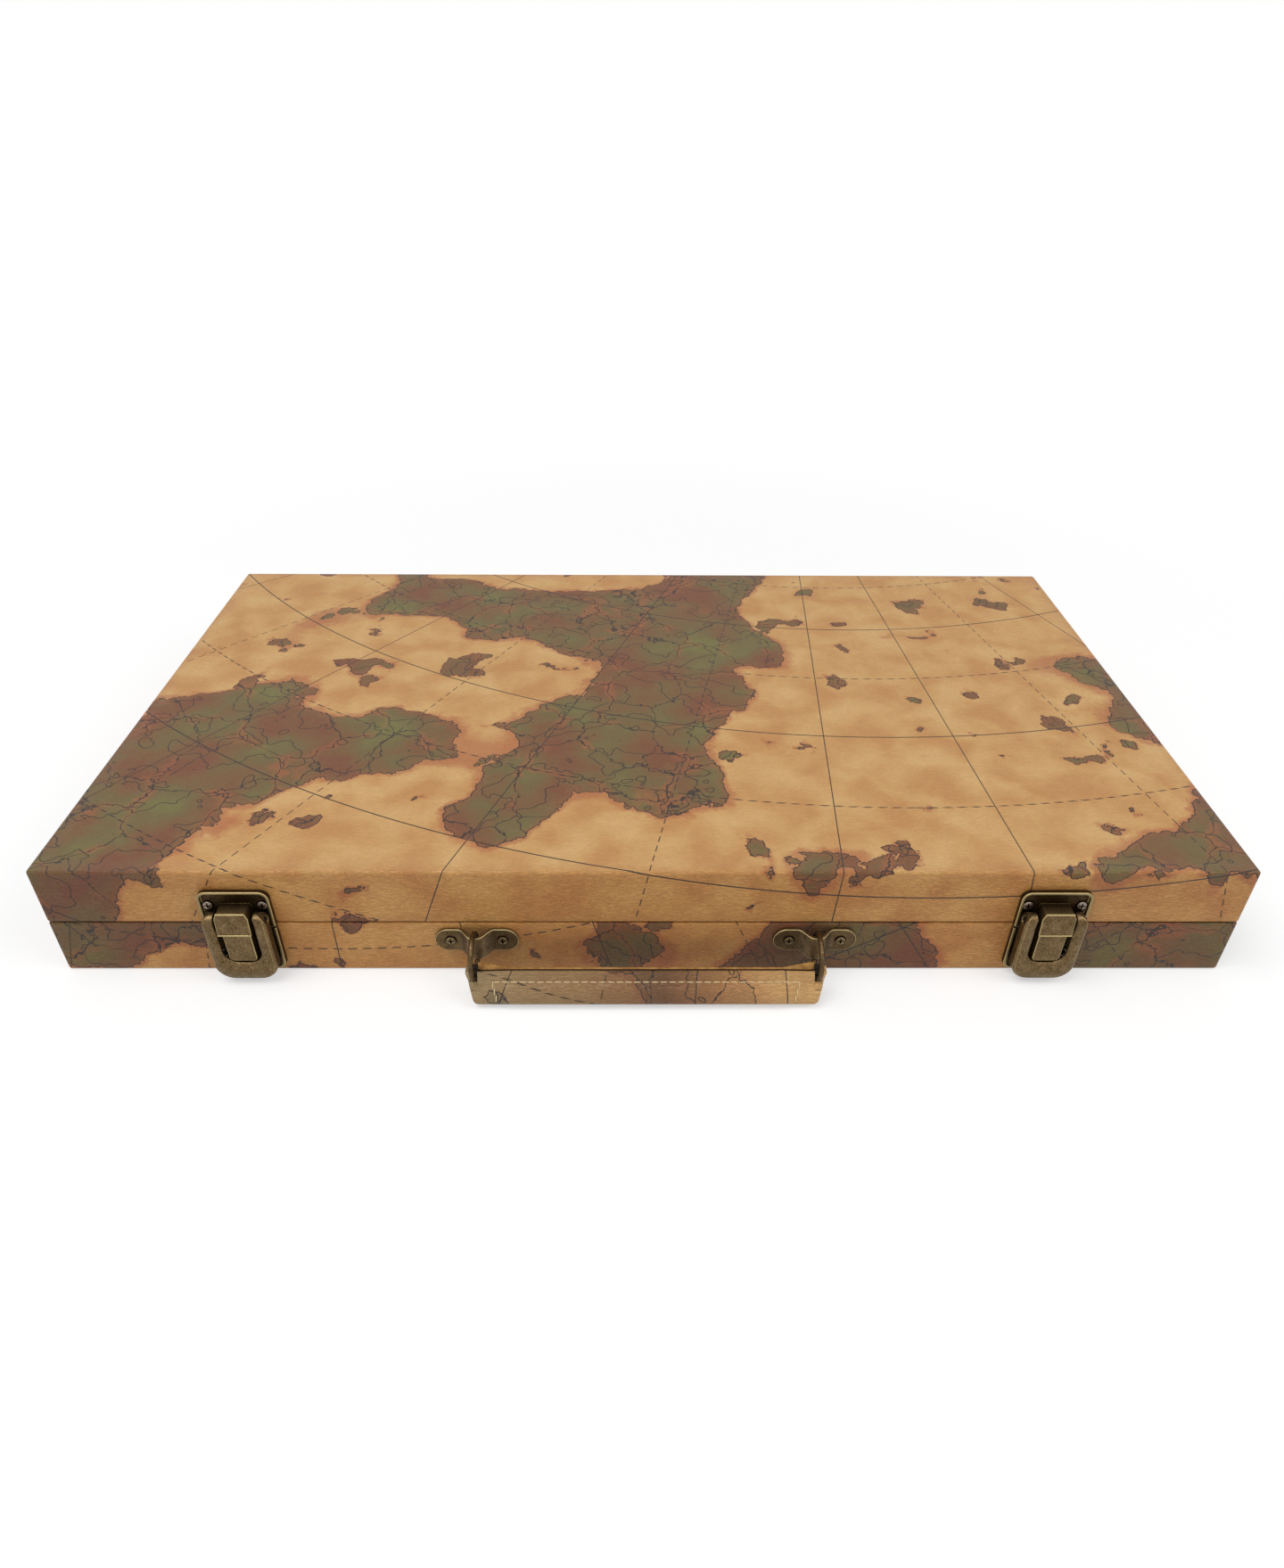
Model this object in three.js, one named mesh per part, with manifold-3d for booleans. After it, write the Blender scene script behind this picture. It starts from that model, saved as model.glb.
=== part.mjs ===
// A travel backgammon set: a flat hinged case whose tray and lid open into the playing board,
// closed by two hasps and carried by a padded handle on two wire rings. Millimetres, +Z up.
// The case stands flat with its latches towards -Y. The origin is the centre of the tray's base.
import * as THREE from 'three';
import { mergeVertices } from 'three/addons/utils/BufferGeometryUtils.js';
import Module from 'manifold-3d';

// Case: tray and lid are equal halves
const caseWidth = 380;
const caseDepth = 220;
const halfHeight = 20.9;
const seamGap = 0.4;
const skin = 0.8;
const caseEdgeRadius = 1.8;
const rimWidth = 9;
const panelThickness = 3;
const boardThickness = 1.6;
const turnInWidth = 8;
const glueGap = 0.2;

// Playing board and stores inside the case
const troughWidth = 29;
const dividerWidth = 4;
const dividerDrop = 0.6;
const liningThickness = 0.8;
const pointThickness = 0.5;
const pointLength = 96;
const pointMargin = 3;
const pointSideGap = 0.9;
const pointsPerSide = 6;

// Pieces kept in the case
const checkerDiameter = 27;
const checkerThickness = 7.5;
const checkerPitch = 8;
const checkersPerSide = 15;
const checkerCoreRadius = 4;
const dieSize = 12;
const diePitch = 13.5;
const cubeSize = 14;
const dicePerSide = 2;
const cupWidth = 42;
const cupHeight = 26;
const cupLength = 62;
const cupWall = 2;
const cupFloor = 2.4;
const cupLining = 0.8;
const cupSpacing = 74;
const cupSetBack = 28;
const restGap = 0.3;
const storeLeftShare = 0.83;

// Two hinges at the back
const hingeEndInset = 80;
const hingeLength = 38;
const leafThickness = 0.9;
const leafReach = 8.4;
const knuckleRadius = 1.8;
const hingeOut = 2.1;
const hingePinRadius = 0.8;
const leafScrewSpacing = 26;
const leafScrewInset = 4.4;
const leafScrewHeadRadius = 1.7;
const leafScrewHeadHeight = 0.45;

// Clearances: round a shaft in a bore, between moving faces, and round a fixed insert
const boreGap = 0.3;
const slideGap = 0.3;
const seatGap = 0.3;

// Wood screws
const screwHeadRadius = 1.7;
const screwHeadHeight = 0.5;
const screwShankRadius = 0.8;
const screwLength = 7;

// Two latches on the front
const latchEndInset = 61.8;
const plateWidth = 22.4;
const plateSheet = 1;
const plateLip = 1;
const plateLipWidth = 0.9;
const plateCorner = 3;
const lidPlateHeight = 14.2;
const trayPlateHeight = 17.9;
const trayPlateDrop = 0.4;
const plateScrewSpacing = 17;
const plateScrewInset = 5.8;
const trayScrewSpacing = 15.2;
const trayScrewRise = 6.6;
const pivotRise = 5;
const pivotOut = 4;
const haspPinRadius = 0.9;
const earRadius = 2.5;
const haspSheet = 1.2;
const haspBack = 2.6;
const haspDrop = 18.9;
const haspCorner = 6;
const earCorner = 3.2;
const earRoot = 3.4;
const haspBevel = 0.6;
const windowWidth = 12.2;
const windowCorner = 4.6;
const hoodWidth = 10.6;
const hoodSheet = 0.6;
const hoodBottomRise = 1;
const hoodTopRise = 9.2;
const hoodTopOut = 6.4;
const hoodBottomOut = 7.2;
const hoodShoulder = 1.8;
const hoodShoulderInset = 0.8;
const catchWidth = 8.9;
const catchDrop = 11;
const catchRise = 0.8;
const catchFront = 6;
const catchCorner = 1.5;
const catchTabWidth = 7.2;
const catchTabRise = 1.8;
const catchTabSetback = 0.6;
const catchHold = 0.8;
const catchFlange = 0.95;
const catchFlangeThickness = 1;
const catchFlangeInset = 1;
const railLength = 6;
const railInset = 2.4;
const railWall = 0.8;
const pocketWidth = 3.8;
const pocketDepth = 3.6;
const pocketFloor = 1.9;
const lugWidth = 2.4;
const lugThickness = 1;
const lugReach = 3.2;
const lugDrop = 1.1;
const springRadius = 1.05;
const springWireRadius = 0.25;
const springTurns = 5;

// Handle, its two brackets and the wire rings that carry it
const bracketHeightAboveBase = 14.6;
const bracketLength = 26.8;
const bracketWidth = 9;
const bracketSheet = 1.2;
const bracketScrewSpacing = 16.6;
const strapFootWidth = 9.2;
const strapTopWidth = 6.2;
const strapRise = 5.2;
const strapSheet = 1;
const ringRadius = 7.2;
const ringWireRadius = 0.8;
const ringCaseGap = 0.4;
const neckRadius = 1.1;
const neckAngle = 35;
const handleAngle = 32;
const handleTopLength = 118;
const handleEndTaper = 2.8;
const handleRingInset = 4.7;
const handleEdgeThickness = 2.6;
const handleFullThickness = 4.8;
const handleLipHeight = 1;
const handleFlatDepth = 1.6;
const handleBulgeDepth = 4.6;
const handleFoldDepth = 8.4;
const handleFoldRadius = 1.9;
const handleCorner = 3;
const handleSlotWidth = 2.4;
const handleSlotDepth = 5.4;
const coreThickness = 1.1;
const coreDepth = 7.6;
const coreEndInset = 1.6;
const coreNeckHeight = 0.9;

// Cutting tools run past the faces that they cut by this much
const overrun = 2;

// Number of flats on round work, from the smallest to the largest
const tinySides = 6;
const smallSides = 12;
const roundSides = 16;
const ovalSides = 20;
const ringSteps = 24;
const springSteps = 8;
const springSides = 5;
const cornerSegments = 4;
const bevelSegments = 1;

// Heights and faces that the pieces share
const caseHeight = halfHeight + seamGap + halfHeight;
const seamZ = caseHeight / 2;
const lidEdgeZ = halfHeight + seamGap;
const frontY = -caseDepth / 2;
const panelLow = skin + glueGap;
const panelTop = panelLow + panelThickness;
const boardLow = panelTop + glueGap;
const boardTop = boardLow + boardThickness;
const liningLow = boardTop + glueGap;
const liningTop = liningLow + liningThickness;
const pointTop = boardTop + pointThickness;
const frameHalfX = caseWidth / 2 - skin - glueGap;
const frameHalfY = caseDepth / 2 - skin - glueGap;
const innerHalfX = frameHalfX - rimWidth;
const innerHalfY = frameHalfY - rimWidth;
const boardHalfX = innerHalfX - glueGap;
const boardHalfY = innerHalfY - glueGap;
const latchX = caseWidth / 2 - latchEndInset;
const handleX = handleTopLength / 2 - handleRingInset;
const hingeX = caseWidth / 2 - hingeEndInset;

// Finishes
const leatherette = new THREE.MeshStandardMaterial({ color: 0xb27a45, roughness: 0.5 });
const rawWood = new THREE.MeshStandardMaterial({ color: 0xb98f5c, roughness: 0.8 });
const fibreboard = new THREE.MeshStandardMaterial({ color: 0x8a6a48, roughness: 0.9 });
const boardHide = new THREE.MeshStandardMaterial({ color: 0x6e4a2c, roughness: 0.6 });
const feltLining = new THREE.MeshStandardMaterial({ color: 0x5a3a22, roughness: 0.95 });
const oldBrass = new THREE.MeshStandardMaterial({ color: 0x6e5b38, roughness: 0.42, metalness: 1 });
const springSteel = new THREE.MeshStandardMaterial({ color: 0x9a9a98, roughness: 0.35, metalness: 1 });
const nickel = new THREE.MeshStandardMaterial({ color: 0xa9a196, roughness: 0.35, metalness: 1 });
const lightResin = new THREE.MeshStandardMaterial({ color: 0xe9dcc0, roughness: 0.3 });
const darkResin = new THREE.MeshStandardMaterial({ color: 0x3a1f16, roughness: 0.3 });

const wasm = await Module();
wasm.setup();

const part = new THREE.Group();

// A closed mesh becomes a solid that can be joined and cut
function solid(geometry) {
  const bare = geometry.clone();
  bare.deleteAttribute('normal');
  bare.deleteAttribute('uv');
  const merged = mergeVertices(bare);
  const vertProperties = Float32Array.from(merged.attributes.position.array);
  const triVerts = Uint32Array.from(merged.index.array);
  return new wasm.Manifold(new wasm.Mesh({ numProp: 3, vertProperties, triVerts }));
}

// The joined and cut solid becomes a mesh again
function shaped(body) {
  const mesh = body.getMesh();
  const geometry = new THREE.BufferGeometry();
  geometry.setAttribute('position', new THREE.BufferAttribute(Float32Array.from(mesh.vertProperties), 3));
  geometry.setIndex(new THREE.BufferAttribute(Uint32Array.from(mesh.triVerts), 1));
  geometry.computeVertexNormals();
  return geometry;
}

// Several closed geometries that make one node
function together(geometries) {
  return shaped(geometries.map(solid).reduce((whole, next) => whole.add(next)));
}

function addPiece(parent, name, geometry, material) {
  const piece = new THREE.Mesh(geometry, material);
  piece.name = name;
  parent.add(piece);
  return piece;
}

function placed(parent, x, y, z) {
  const group = new THREE.Group();
  group.position.set(x, y, z);
  parent.add(group);
  return group;
}

function polygon(points) {
  const shape = new THREE.Shape();
  shape.setFromPoints(points.map(([across, up]) => new THREE.Vector2(across, up)));
  return shape;
}

// A rectangle with a radius for its lower and one for its upper corners
function roundedRectangle(x0, x1, y0, y1, lowerRadius, upperRadius) {
  const shape = new THREE.Shape();
  shape.moveTo(x0 + lowerRadius, y0);
  shape.lineTo(x1 - lowerRadius, y0);
  if (lowerRadius > 0) shape.absarc(x1 - lowerRadius, y0 + lowerRadius, lowerRadius, -Math.PI / 2, 0);
  shape.lineTo(x1, y1 - upperRadius);
  if (upperRadius > 0) shape.absarc(x1 - upperRadius, y1 - upperRadius, upperRadius, 0, Math.PI / 2);
  shape.lineTo(x0 + upperRadius, y1);
  if (upperRadius > 0) shape.absarc(x0 + upperRadius, y1 - upperRadius, upperRadius, Math.PI / 2, Math.PI);
  shape.lineTo(x0, y0 + lowerRadius);
  if (lowerRadius > 0) shape.absarc(x0 + lowerRadius, y0 + lowerRadius, lowerRadius, Math.PI, 1.5 * Math.PI);
  return shape;
}

function extruded(shape, depth) {
  return new THREE.ExtrudeGeometry(shape, { depth, bevelEnabled: false, curveSegments: cornerSegments });
}

// Outline in plan, thickness along Z
function upright(shape, z0, z1) {
  return extruded(shape, z1 - z0).translate(0, 0, z0);
}

// Outline seen from the front, thickness outwards along -Y
function outward(shape, near, far) {
  return extruded(shape, far - near).translate(0, 0, near).rotateX(Math.PI / 2);
}

// Outline drawn as distance outwards and height, length along X
const sideways = new THREE.Matrix4().makeBasis(
  new THREE.Vector3(0, -1, 0), new THREE.Vector3(0, 0, 1), new THREE.Vector3(-1, 0, 0));
function lengthwise(shape, x0, x1) {
  return extruded(shape, x1 - x0).translate(0, 0, -x1).applyMatrix4(sideways);
}

function block(x0, x1, y0, y1, z0, z1) {
  return new THREE.BoxGeometry(x1 - x0, y1 - y0, z1 - z0)
    .translate((x0 + x1) / 2, (y0 + y1) / 2, (z0 + z1) / 2);
}

// Round bars along X, along Z and outwards along -Y
function barAlongX(radius, x0, x1, y, z, sides) {
  return new THREE.CylinderGeometry(radius, radius, x1 - x0, sides)
    .rotateZ(Math.PI / 2).translate((x0 + x1) / 2, y, z);
}

function barAlongZ(radius, z0, z1, x, y, sides) {
  return new THREE.CylinderGeometry(radius, radius, z1 - z0, sides)
    .rotateX(Math.PI / 2).translate(x, y, (z0 + z1) / 2);
}

function barOutward(radius, near, far, x, z, sides) {
  return new THREE.CylinderGeometry(radius, radius, far - near, sides)
    .translate(x, -(near + far) / 2, z);
}

// Places of the screws that go into the front wall: distance from the centre and height
const lidScrewZ = lidEdgeZ + lidPlateHeight - plateScrewInset;
const trayPlateTop = halfHeight - trayPlateDrop;
const trayPlateBottom = trayPlateTop - trayPlateHeight;
const trayScrewZ = trayPlateBottom + trayScrewRise;
const bothSides = [-1, 1];

function screwPlaces(centres, spacing, z) {
  return centres.flatMap((centre) => bothSides.map((side) => [centre + side * spacing / 2, z]));
}

const latchCentres = [-latchX, latchX];
const handleCentres = [-handleX, handleX];
const hingeCentres = [-hingeX, hingeX];
const lidFrontScrews = screwPlaces(latchCentres, plateScrewSpacing, lidScrewZ);
const trayFrontScrews = [
  ...screwPlaces(latchCentres, trayScrewSpacing, trayScrewZ),
  ...screwPlaces(handleCentres, bracketScrewSpacing, bracketHeightAboveBase),
];
const leafScrewY = caseDepth / 2 - leafScrewInset;

// Pilot holes for screws that go into the front wall
function frontScrewHoles(places) {
  const holeRadius = screwShankRadius + seatGap;
  return places.map(([x, z]) =>
    barOutward(holeRadius, -screwLength - seatGap, overrun, x, z, tinySides).translate(0, frontY, 0));
}

// Recesses for the two hinge leaves on one half's rim, with pilot holes for their screws.
// edge is the height of the rim and into points from there into the rim.
function hingeMortises(edge, into) {
  const deep = edge + into * (leafThickness + glueGap);
  const bottom = deep + into * screwLength;
  const above = edge - into * overrun;
  const cuts = [];
  for (const centre of hingeCentres) {
    const halfLeaf = hingeLength / 2 + seatGap;
    const inner = caseDepth / 2 - leafReach - seatGap;
    cuts.push(block(centre - halfLeaf, centre + halfLeaf, inner, caseDepth / 2 + overrun,
      Math.min(deep, above), Math.max(deep, above)));
    for (const side of bothSides) {
      cuts.push(barAlongZ(screwShankRadius + seatGap, Math.min(bottom, above), Math.max(bottom, above),
        centre + side * leafScrewSpacing / 2, leafScrewY, tinySides));
    }
  }
  return cuts;
}

function cutBy(body, tools) {
  return tools.map(solid).reduce((left, tool) => left.subtract(tool), body);
}

// One half of the case. height() turns a height above the half's own outer face into a height
// in the case: it counts up for the tray and down for the lid.
function makeHalf(name, height, frontScrews) {
  const span = (low, high) => [Math.min(height(low), height(high)), Math.max(height(low), height(high))];
  const into = Math.sign(height(0) - height(halfHeight));
  const mortises = hingeMortises(height(halfHeight), into);
  const screwHoles = frontScrewHoles(frontScrews);

  // Leatherette skin: outer face, four walls, and a turn-in that is glued over the rim's edge
  const plan = roundedRectangle(-caseWidth / 2 + caseEdgeRadius, caseWidth / 2 - caseEdgeRadius,
    -caseDepth / 2 + caseEdgeRadius, caseDepth / 2 - caseEdgeRadius, 0, 0);
  const crust = new THREE.ExtrudeGeometry(plan, {
    depth: caseHeight,
    bevelSize: caseEdgeRadius,
    bevelThickness: caseEdgeRadius,
    bevelSegments: cornerSegments,
    curveSegments: cornerSegments,
  });
  const crustLow = height(0) < height(halfHeight)
    ? caseEdgeRadius : height(0) - caseHeight - caseEdgeRadius;
  crust.translate(0, 0, crustLow);
  const outerBlock = solid(crust).intersect(solid(block(-caseWidth, caseWidth, -caseDepth, caseDepth,
    ...span(0, halfHeight))));
  const cavityHalfX = caseWidth / 2 - skin;
  const cavityHalfY = caseDepth / 2 - skin;
  const mouthHalfX = cavityHalfX - turnInWidth;
  const mouthHalfY = cavityHalfY - turnInWidth;
  const cavity = block(-cavityHalfX, cavityHalfX, -cavityHalfY, cavityHalfY,
    ...span(skin, halfHeight - skin));
  const mouth = block(-mouthHalfX, mouthHalfX, -mouthHalfY, mouthHalfY,
    ...span(halfHeight / 2, halfHeight + overrun));
  const cover = cutBy(outerBlock, [cavity, mouth, ...mortises, ...screwHoles]);
  addPiece(part, `${name}_cover`, shaped(cover), leatherette);

  // Board that stiffens the outer face
  addPiece(part, `${name}_panel`, block(-frameHalfX, frameHalfX, -frameHalfY, frameHalfY,
    ...span(panelLow, panelTop)), fibreboard);

  // Wooden rim round the board
  const rimSpan = span(panelTop + glueGap, halfHeight - skin - glueGap);
  const rim = solid(block(-frameHalfX, frameHalfX, -frameHalfY, frameHalfY, ...rimSpan));
  const rimHole = block(-innerHalfX, innerHalfX, -innerHalfY, innerHalfY,
    rimSpan[0] - overrun, rimSpan[1] + overrun);
  addPiece(part, `${name}_frame`, shaped(cutBy(rim, [rimHole, ...mortises, ...screwHoles])), rawWood);

  // Playing board with six raised points along each short side, behind the trough
  const playFront = -boardHalfY + troughWidth + dividerWidth;
  const pitch = (boardHalfY - playFront) / pointsPerSide;
  const board = [block(-boardHalfX, boardHalfX, -boardHalfY, boardHalfY, ...span(boardLow, boardTop))];
  for (const side of bothSides) {
    for (let index = 0; index < pointsPerSide; index += 1) {
      const near = playFront + index * pitch + pointSideGap / 2;
      const far = near + pitch - pointSideGap;
      const base = side * (boardHalfX - pointMargin);
      const tip = base - side * pointLength;
      const corners = side < 0
        ? [[base, near], [tip, (near + far) / 2], [base, far]]
        : [[base, far], [tip, (near + far) / 2], [base, near]];
      board.push(upright(polygon(corners), ...span((boardLow + boardTop) / 2, pointTop)));
    }
  }
  addPiece(part, `${name}_board`, together(board), boardHide);

  // Rail that fences off the checker trough along the front, and the trough's lining
  const dividerFront = -boardHalfY + troughWidth;
  addPiece(part, `${name}_divider`, block(-boardHalfX, boardHalfX, dividerFront,
    dividerFront + dividerWidth, ...span(boardTop + glueGap, halfHeight - dividerDrop)), rawWood);
  addPiece(part, `${name}_trough_lining`, block(-boardHalfX, boardHalfX, -boardHalfY,
    dividerFront - glueGap, ...span(liningLow, liningTop)), feltLining);
}

makeHalf('tray', (rise) => rise, trayFrontScrews);
makeHalf('lid', (rise) => caseHeight - rise, lidFrontScrews);

// Hinges: a leaf let into each rim, rolled round one pin behind the case.
// The tray's leaf has the two outer knuckles and the lid's leaf the middle one.
const hingeY = caseDepth / 2 + hingeOut;
const knuckleEnd = hingeLength / 6;

function hingeLeaf(edge, into, hasMiddle) {
  const low = Math.min(edge, edge + into * leafThickness);
  const high = Math.max(edge, edge + into * leafThickness);
  const clearance = slideGap / 2;
  const halfLeaf = hingeLength / 2;
  const spans = hasMiddle
    ? [[-knuckleEnd + clearance, knuckleEnd - clearance]]
    : [[-halfLeaf, -knuckleEnd - clearance], [knuckleEnd + clearance, halfLeaf]];
  const plateEdge = hingeY - knuckleRadius - slideGap;
  let leaf = solid(block(-halfLeaf, halfLeaf, caseDepth / 2 - leafReach, plateEdge, low, high));
  for (const [x0, x1] of spans) {
    leaf = leaf.add(solid(block(x0, x1, plateEdge - leafReach / 2, hingeY, low, high)));
    leaf = leaf.add(solid(barAlongX(knuckleRadius, x0, x1, hingeY, seamZ, smallSides)));
  }
  const tools = [barAlongX(hingePinRadius + boreGap, -hingeLength, hingeLength, hingeY, seamZ, smallSides)];
  const sinkDepth = edge + into * (leafScrewHeadHeight + glueGap / 2);
  for (const side of bothSides) {
    const x = side * leafScrewSpacing / 2;
    tools.push(barAlongZ(screwShankRadius + seatGap, low - overrun, high + overrun,
      x, leafScrewY, tinySides));
    tools.push(barAlongZ(leafScrewHeadRadius + seatGap, Math.min(sinkDepth, edge - into * overrun),
      Math.max(sinkDepth, edge - into * overrun), x, leafScrewY, smallSides));
  }
  return shaped(cutBy(leaf, tools));
}

for (const [side, centre] of [['left', -hingeX], ['right', hingeX]]) {
  const hinge = placed(part, centre, 0, 0);
  addPiece(hinge, `hinge_${side}_tray_leaf`, hingeLeaf(halfHeight, -1, false), oldBrass);
  addPiece(hinge, `hinge_${side}_lid_leaf`, hingeLeaf(lidEdgeZ, 1, true), oldBrass);
  addPiece(hinge, `hinge_${side}_pin`, barAlongX(hingePinRadius, -hingeLength / 2, hingeLength / 2,
    hingeY, seamZ, smallSides), springSteel);
}

// Two round-headed screws driven into the case through a front fitting of the given thickness
function addFrontScrews(parent, name, spacing, z, fittingThickness) {
  const seat = fittingThickness + glueGap / 2;
  for (const [side, direction] of [['left', -1], ['right', 1]]) {
    const x = direction * spacing / 2;
    const head = barOutward(screwHeadRadius, seat, seat + screwHeadHeight, x, z, smallSides);
    const shank = barOutward(screwShankRadius, -screwLength, seat + screwHeadHeight / 2, x, z, tinySides);
    addPiece(parent, `${name}_screw_${side}`, together([head, shank]), nickel);
  }
}

// Latches. Sizes are given from the latch's own centre line: across, outwards from the case's
// front, and up from the seam's middle.
const plateHalf = plateWidth / 2;
const pivotZ = seamZ + pivotRise;
const hoodHalf = hoodWidth / 2;
const catchHalf = catchWidth / 2;
const catchBottom = seamZ - catchDrop;
const catchShoulder = seamZ + catchRise;
const catchBack = plateSheet + slideGap;
const flangeFront = catchBack + catchFlangeThickness;
const haspHalf = plateHalf - plateLipWidth - slideGap;
const windowHalf = windowWidth / 2;
const windowBottom = catchBottom - catchHold;
const haspFront = pivotOut + earRadius;
const haspBottom = seamZ - haspDrop;
const pocketTop = trayPlateTop - lugDrop + lugThickness / 2 + slideGap;
const lugTop = pocketTop - slideGap;
const lugBottom = lugTop - lugThickness;
const pocketBottom = catchBottom + pocketFloor;

function plateWithLip(bottom, top, lowerRadius, upperRadius, openSide) {
  const outer = roundedRectangle(-plateHalf, plateHalf, bottom, top, lowerRadius, upperRadius);
  const lipInset = plateLipWidth;
  const innerBottom = openSide === 'bottom' ? bottom - overrun : bottom + lipInset;
  const innerTop = openSide === 'top' ? top + overrun : top - lipInset;
  const inner = roundedRectangle(-plateHalf + lipInset, plateHalf - lipInset, innerBottom, innerTop,
    Math.max(lowerRadius - lipInset, 0), Math.max(upperRadius - lipInset, 0));
  return solid(outward(outer, glueGap, plateSheet + plateLip))
    .subtract(solid(outward(inner, plateSheet, plateSheet + plateLip + overrun)));
}

function lidPlate() {
  let plate = plateWithLip(lidEdgeZ, lidEdgeZ + lidPlateHeight, 0, plateCorner, 'bottom');
  const hoodBottom = seamZ + hoodBottomRise;
  const hoodTop = seamZ + hoodTopRise;
  const hoodSide = polygon([
    [plateSheet / 2, hoodBottom], [hoodBottomOut, hoodBottom],
    [hoodTopOut, hoodTop], [plateSheet / 2, hoodTop]]);
  const hoodFace = polygon([
    [-hoodHalf, hoodBottom], [hoodHalf, hoodBottom], [hoodHalf, hoodTop - hoodShoulder],
    [hoodHalf - hoodShoulderInset, hoodTop], [-hoodHalf + hoodShoulderInset, hoodTop],
    [-hoodHalf, hoodTop - hoodShoulder]]);
  const hood = solid(lengthwise(hoodSide, -hoodHalf, hoodHalf))
    .intersect(solid(outward(hoodFace, 0, hoodBottomOut + overrun)));
  const hollowSide = polygon([
    [plateSheet, hoodBottom - overrun], [hoodBottomOut - hoodSheet, hoodBottom - overrun],
    [hoodTopOut - hoodSheet, hoodTop - hoodSheet], [plateSheet, hoodTop - hoodSheet]]);
  const hollowHalf = hoodHalf - hoodSheet;
  const hollow = lengthwise(hollowSide, -hollowHalf, hollowHalf);
  plate = plate.add(hood);
  const belowEdge = block(-hollowHalf, hollowHalf, -hoodBottomOut - overrun, -plateSheet,
    seamZ - overrun, hoodBottom);
  const bore = barAlongX(haspPinRadius + boreGap, -plateHalf, plateHalf, -pivotOut, pivotZ, smallSides);
  const holes = bothSides.map((side) => barOutward(screwShankRadius + seatGap, -overrun, plateSheet + overrun,
    side * plateScrewSpacing / 2, lidScrewZ, tinySides));
  return shaped(cutBy(plate, [hollow, belowEdge, bore, ...holes]));
}

function trayPlate() {
  let plate = plateWithLip(trayPlateBottom, trayPlateTop, plateCorner, 0, 'top');
  const lipInner = catchHalf + slideGap;
  const wallInner = catchHalf + catchFlange + slideGap;
  const wallOuter = wallInner + railWall;
  const lipBack = flangeFront + slideGap;
  const railTop = lipBack + railWall;
  const railBottomZ = catchBottom + railInset;
  for (const side of bothSides) {
    const corners = [
      [side * wallInner, plateSheet / 2], [side * wallOuter, plateSheet / 2], [side * wallOuter, railTop],
      [side * lipInner, railTop], [side * lipInner, lipBack], [side * wallInner, lipBack]];
    const turned = side > 0 ? corners : corners.reverse();
    const plan = polygon(turned.map(([across, out]) => [across, -out]));
    const rail = upright(plan, railBottomZ, railBottomZ + railLength);
    plate = plate.add(solid(rail));
  }
  plate = plate.add(solid(block(-lugWidth / 2, lugWidth / 2, -plateSheet - lugReach, -plateSheet / 2,
    lugBottom, lugTop)));
  const holes = bothSides.map((side) => barOutward(screwShankRadius + seatGap, -overrun, plateSheet + overrun,
    side * trayScrewSpacing / 2, trayScrewZ, tinySides));
  return shaped(cutBy(plate, holes));
}

// Sprung catch: a block with a flange behind that runs in the rails, a tab under the hood and
// a pocket in its back for the spring
function latchCatch() {
  const face = roundedRectangle(-catchHalf, catchHalf, catchBottom, catchShoulder, catchCorner, 0);
  const tabHalf = catchTabWidth / 2;
  const tabFront = catchFront - catchTabSetback;
  const flangeHalf = catchHalf + catchFlange;
  const tab = block(-tabHalf, tabHalf, -tabFront, -flangeFront,
    catchShoulder - catchCorner, seamZ + catchTabRise);
  const body = solid(outward(face, catchBack, catchFront))
    .add(solid(tab))
    .add(solid(block(-flangeHalf, flangeHalf, -flangeFront, -catchBack,
      catchBottom + catchFlangeInset, trayPlateTop - catchFlangeInset)));
  const pocket = block(-pocketWidth / 2, pocketWidth / 2, -catchBack - pocketDepth, -catchBack + overrun,
    pocketBottom, pocketTop);
  return shaped(cutBy(body, [pocket]));
}

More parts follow.
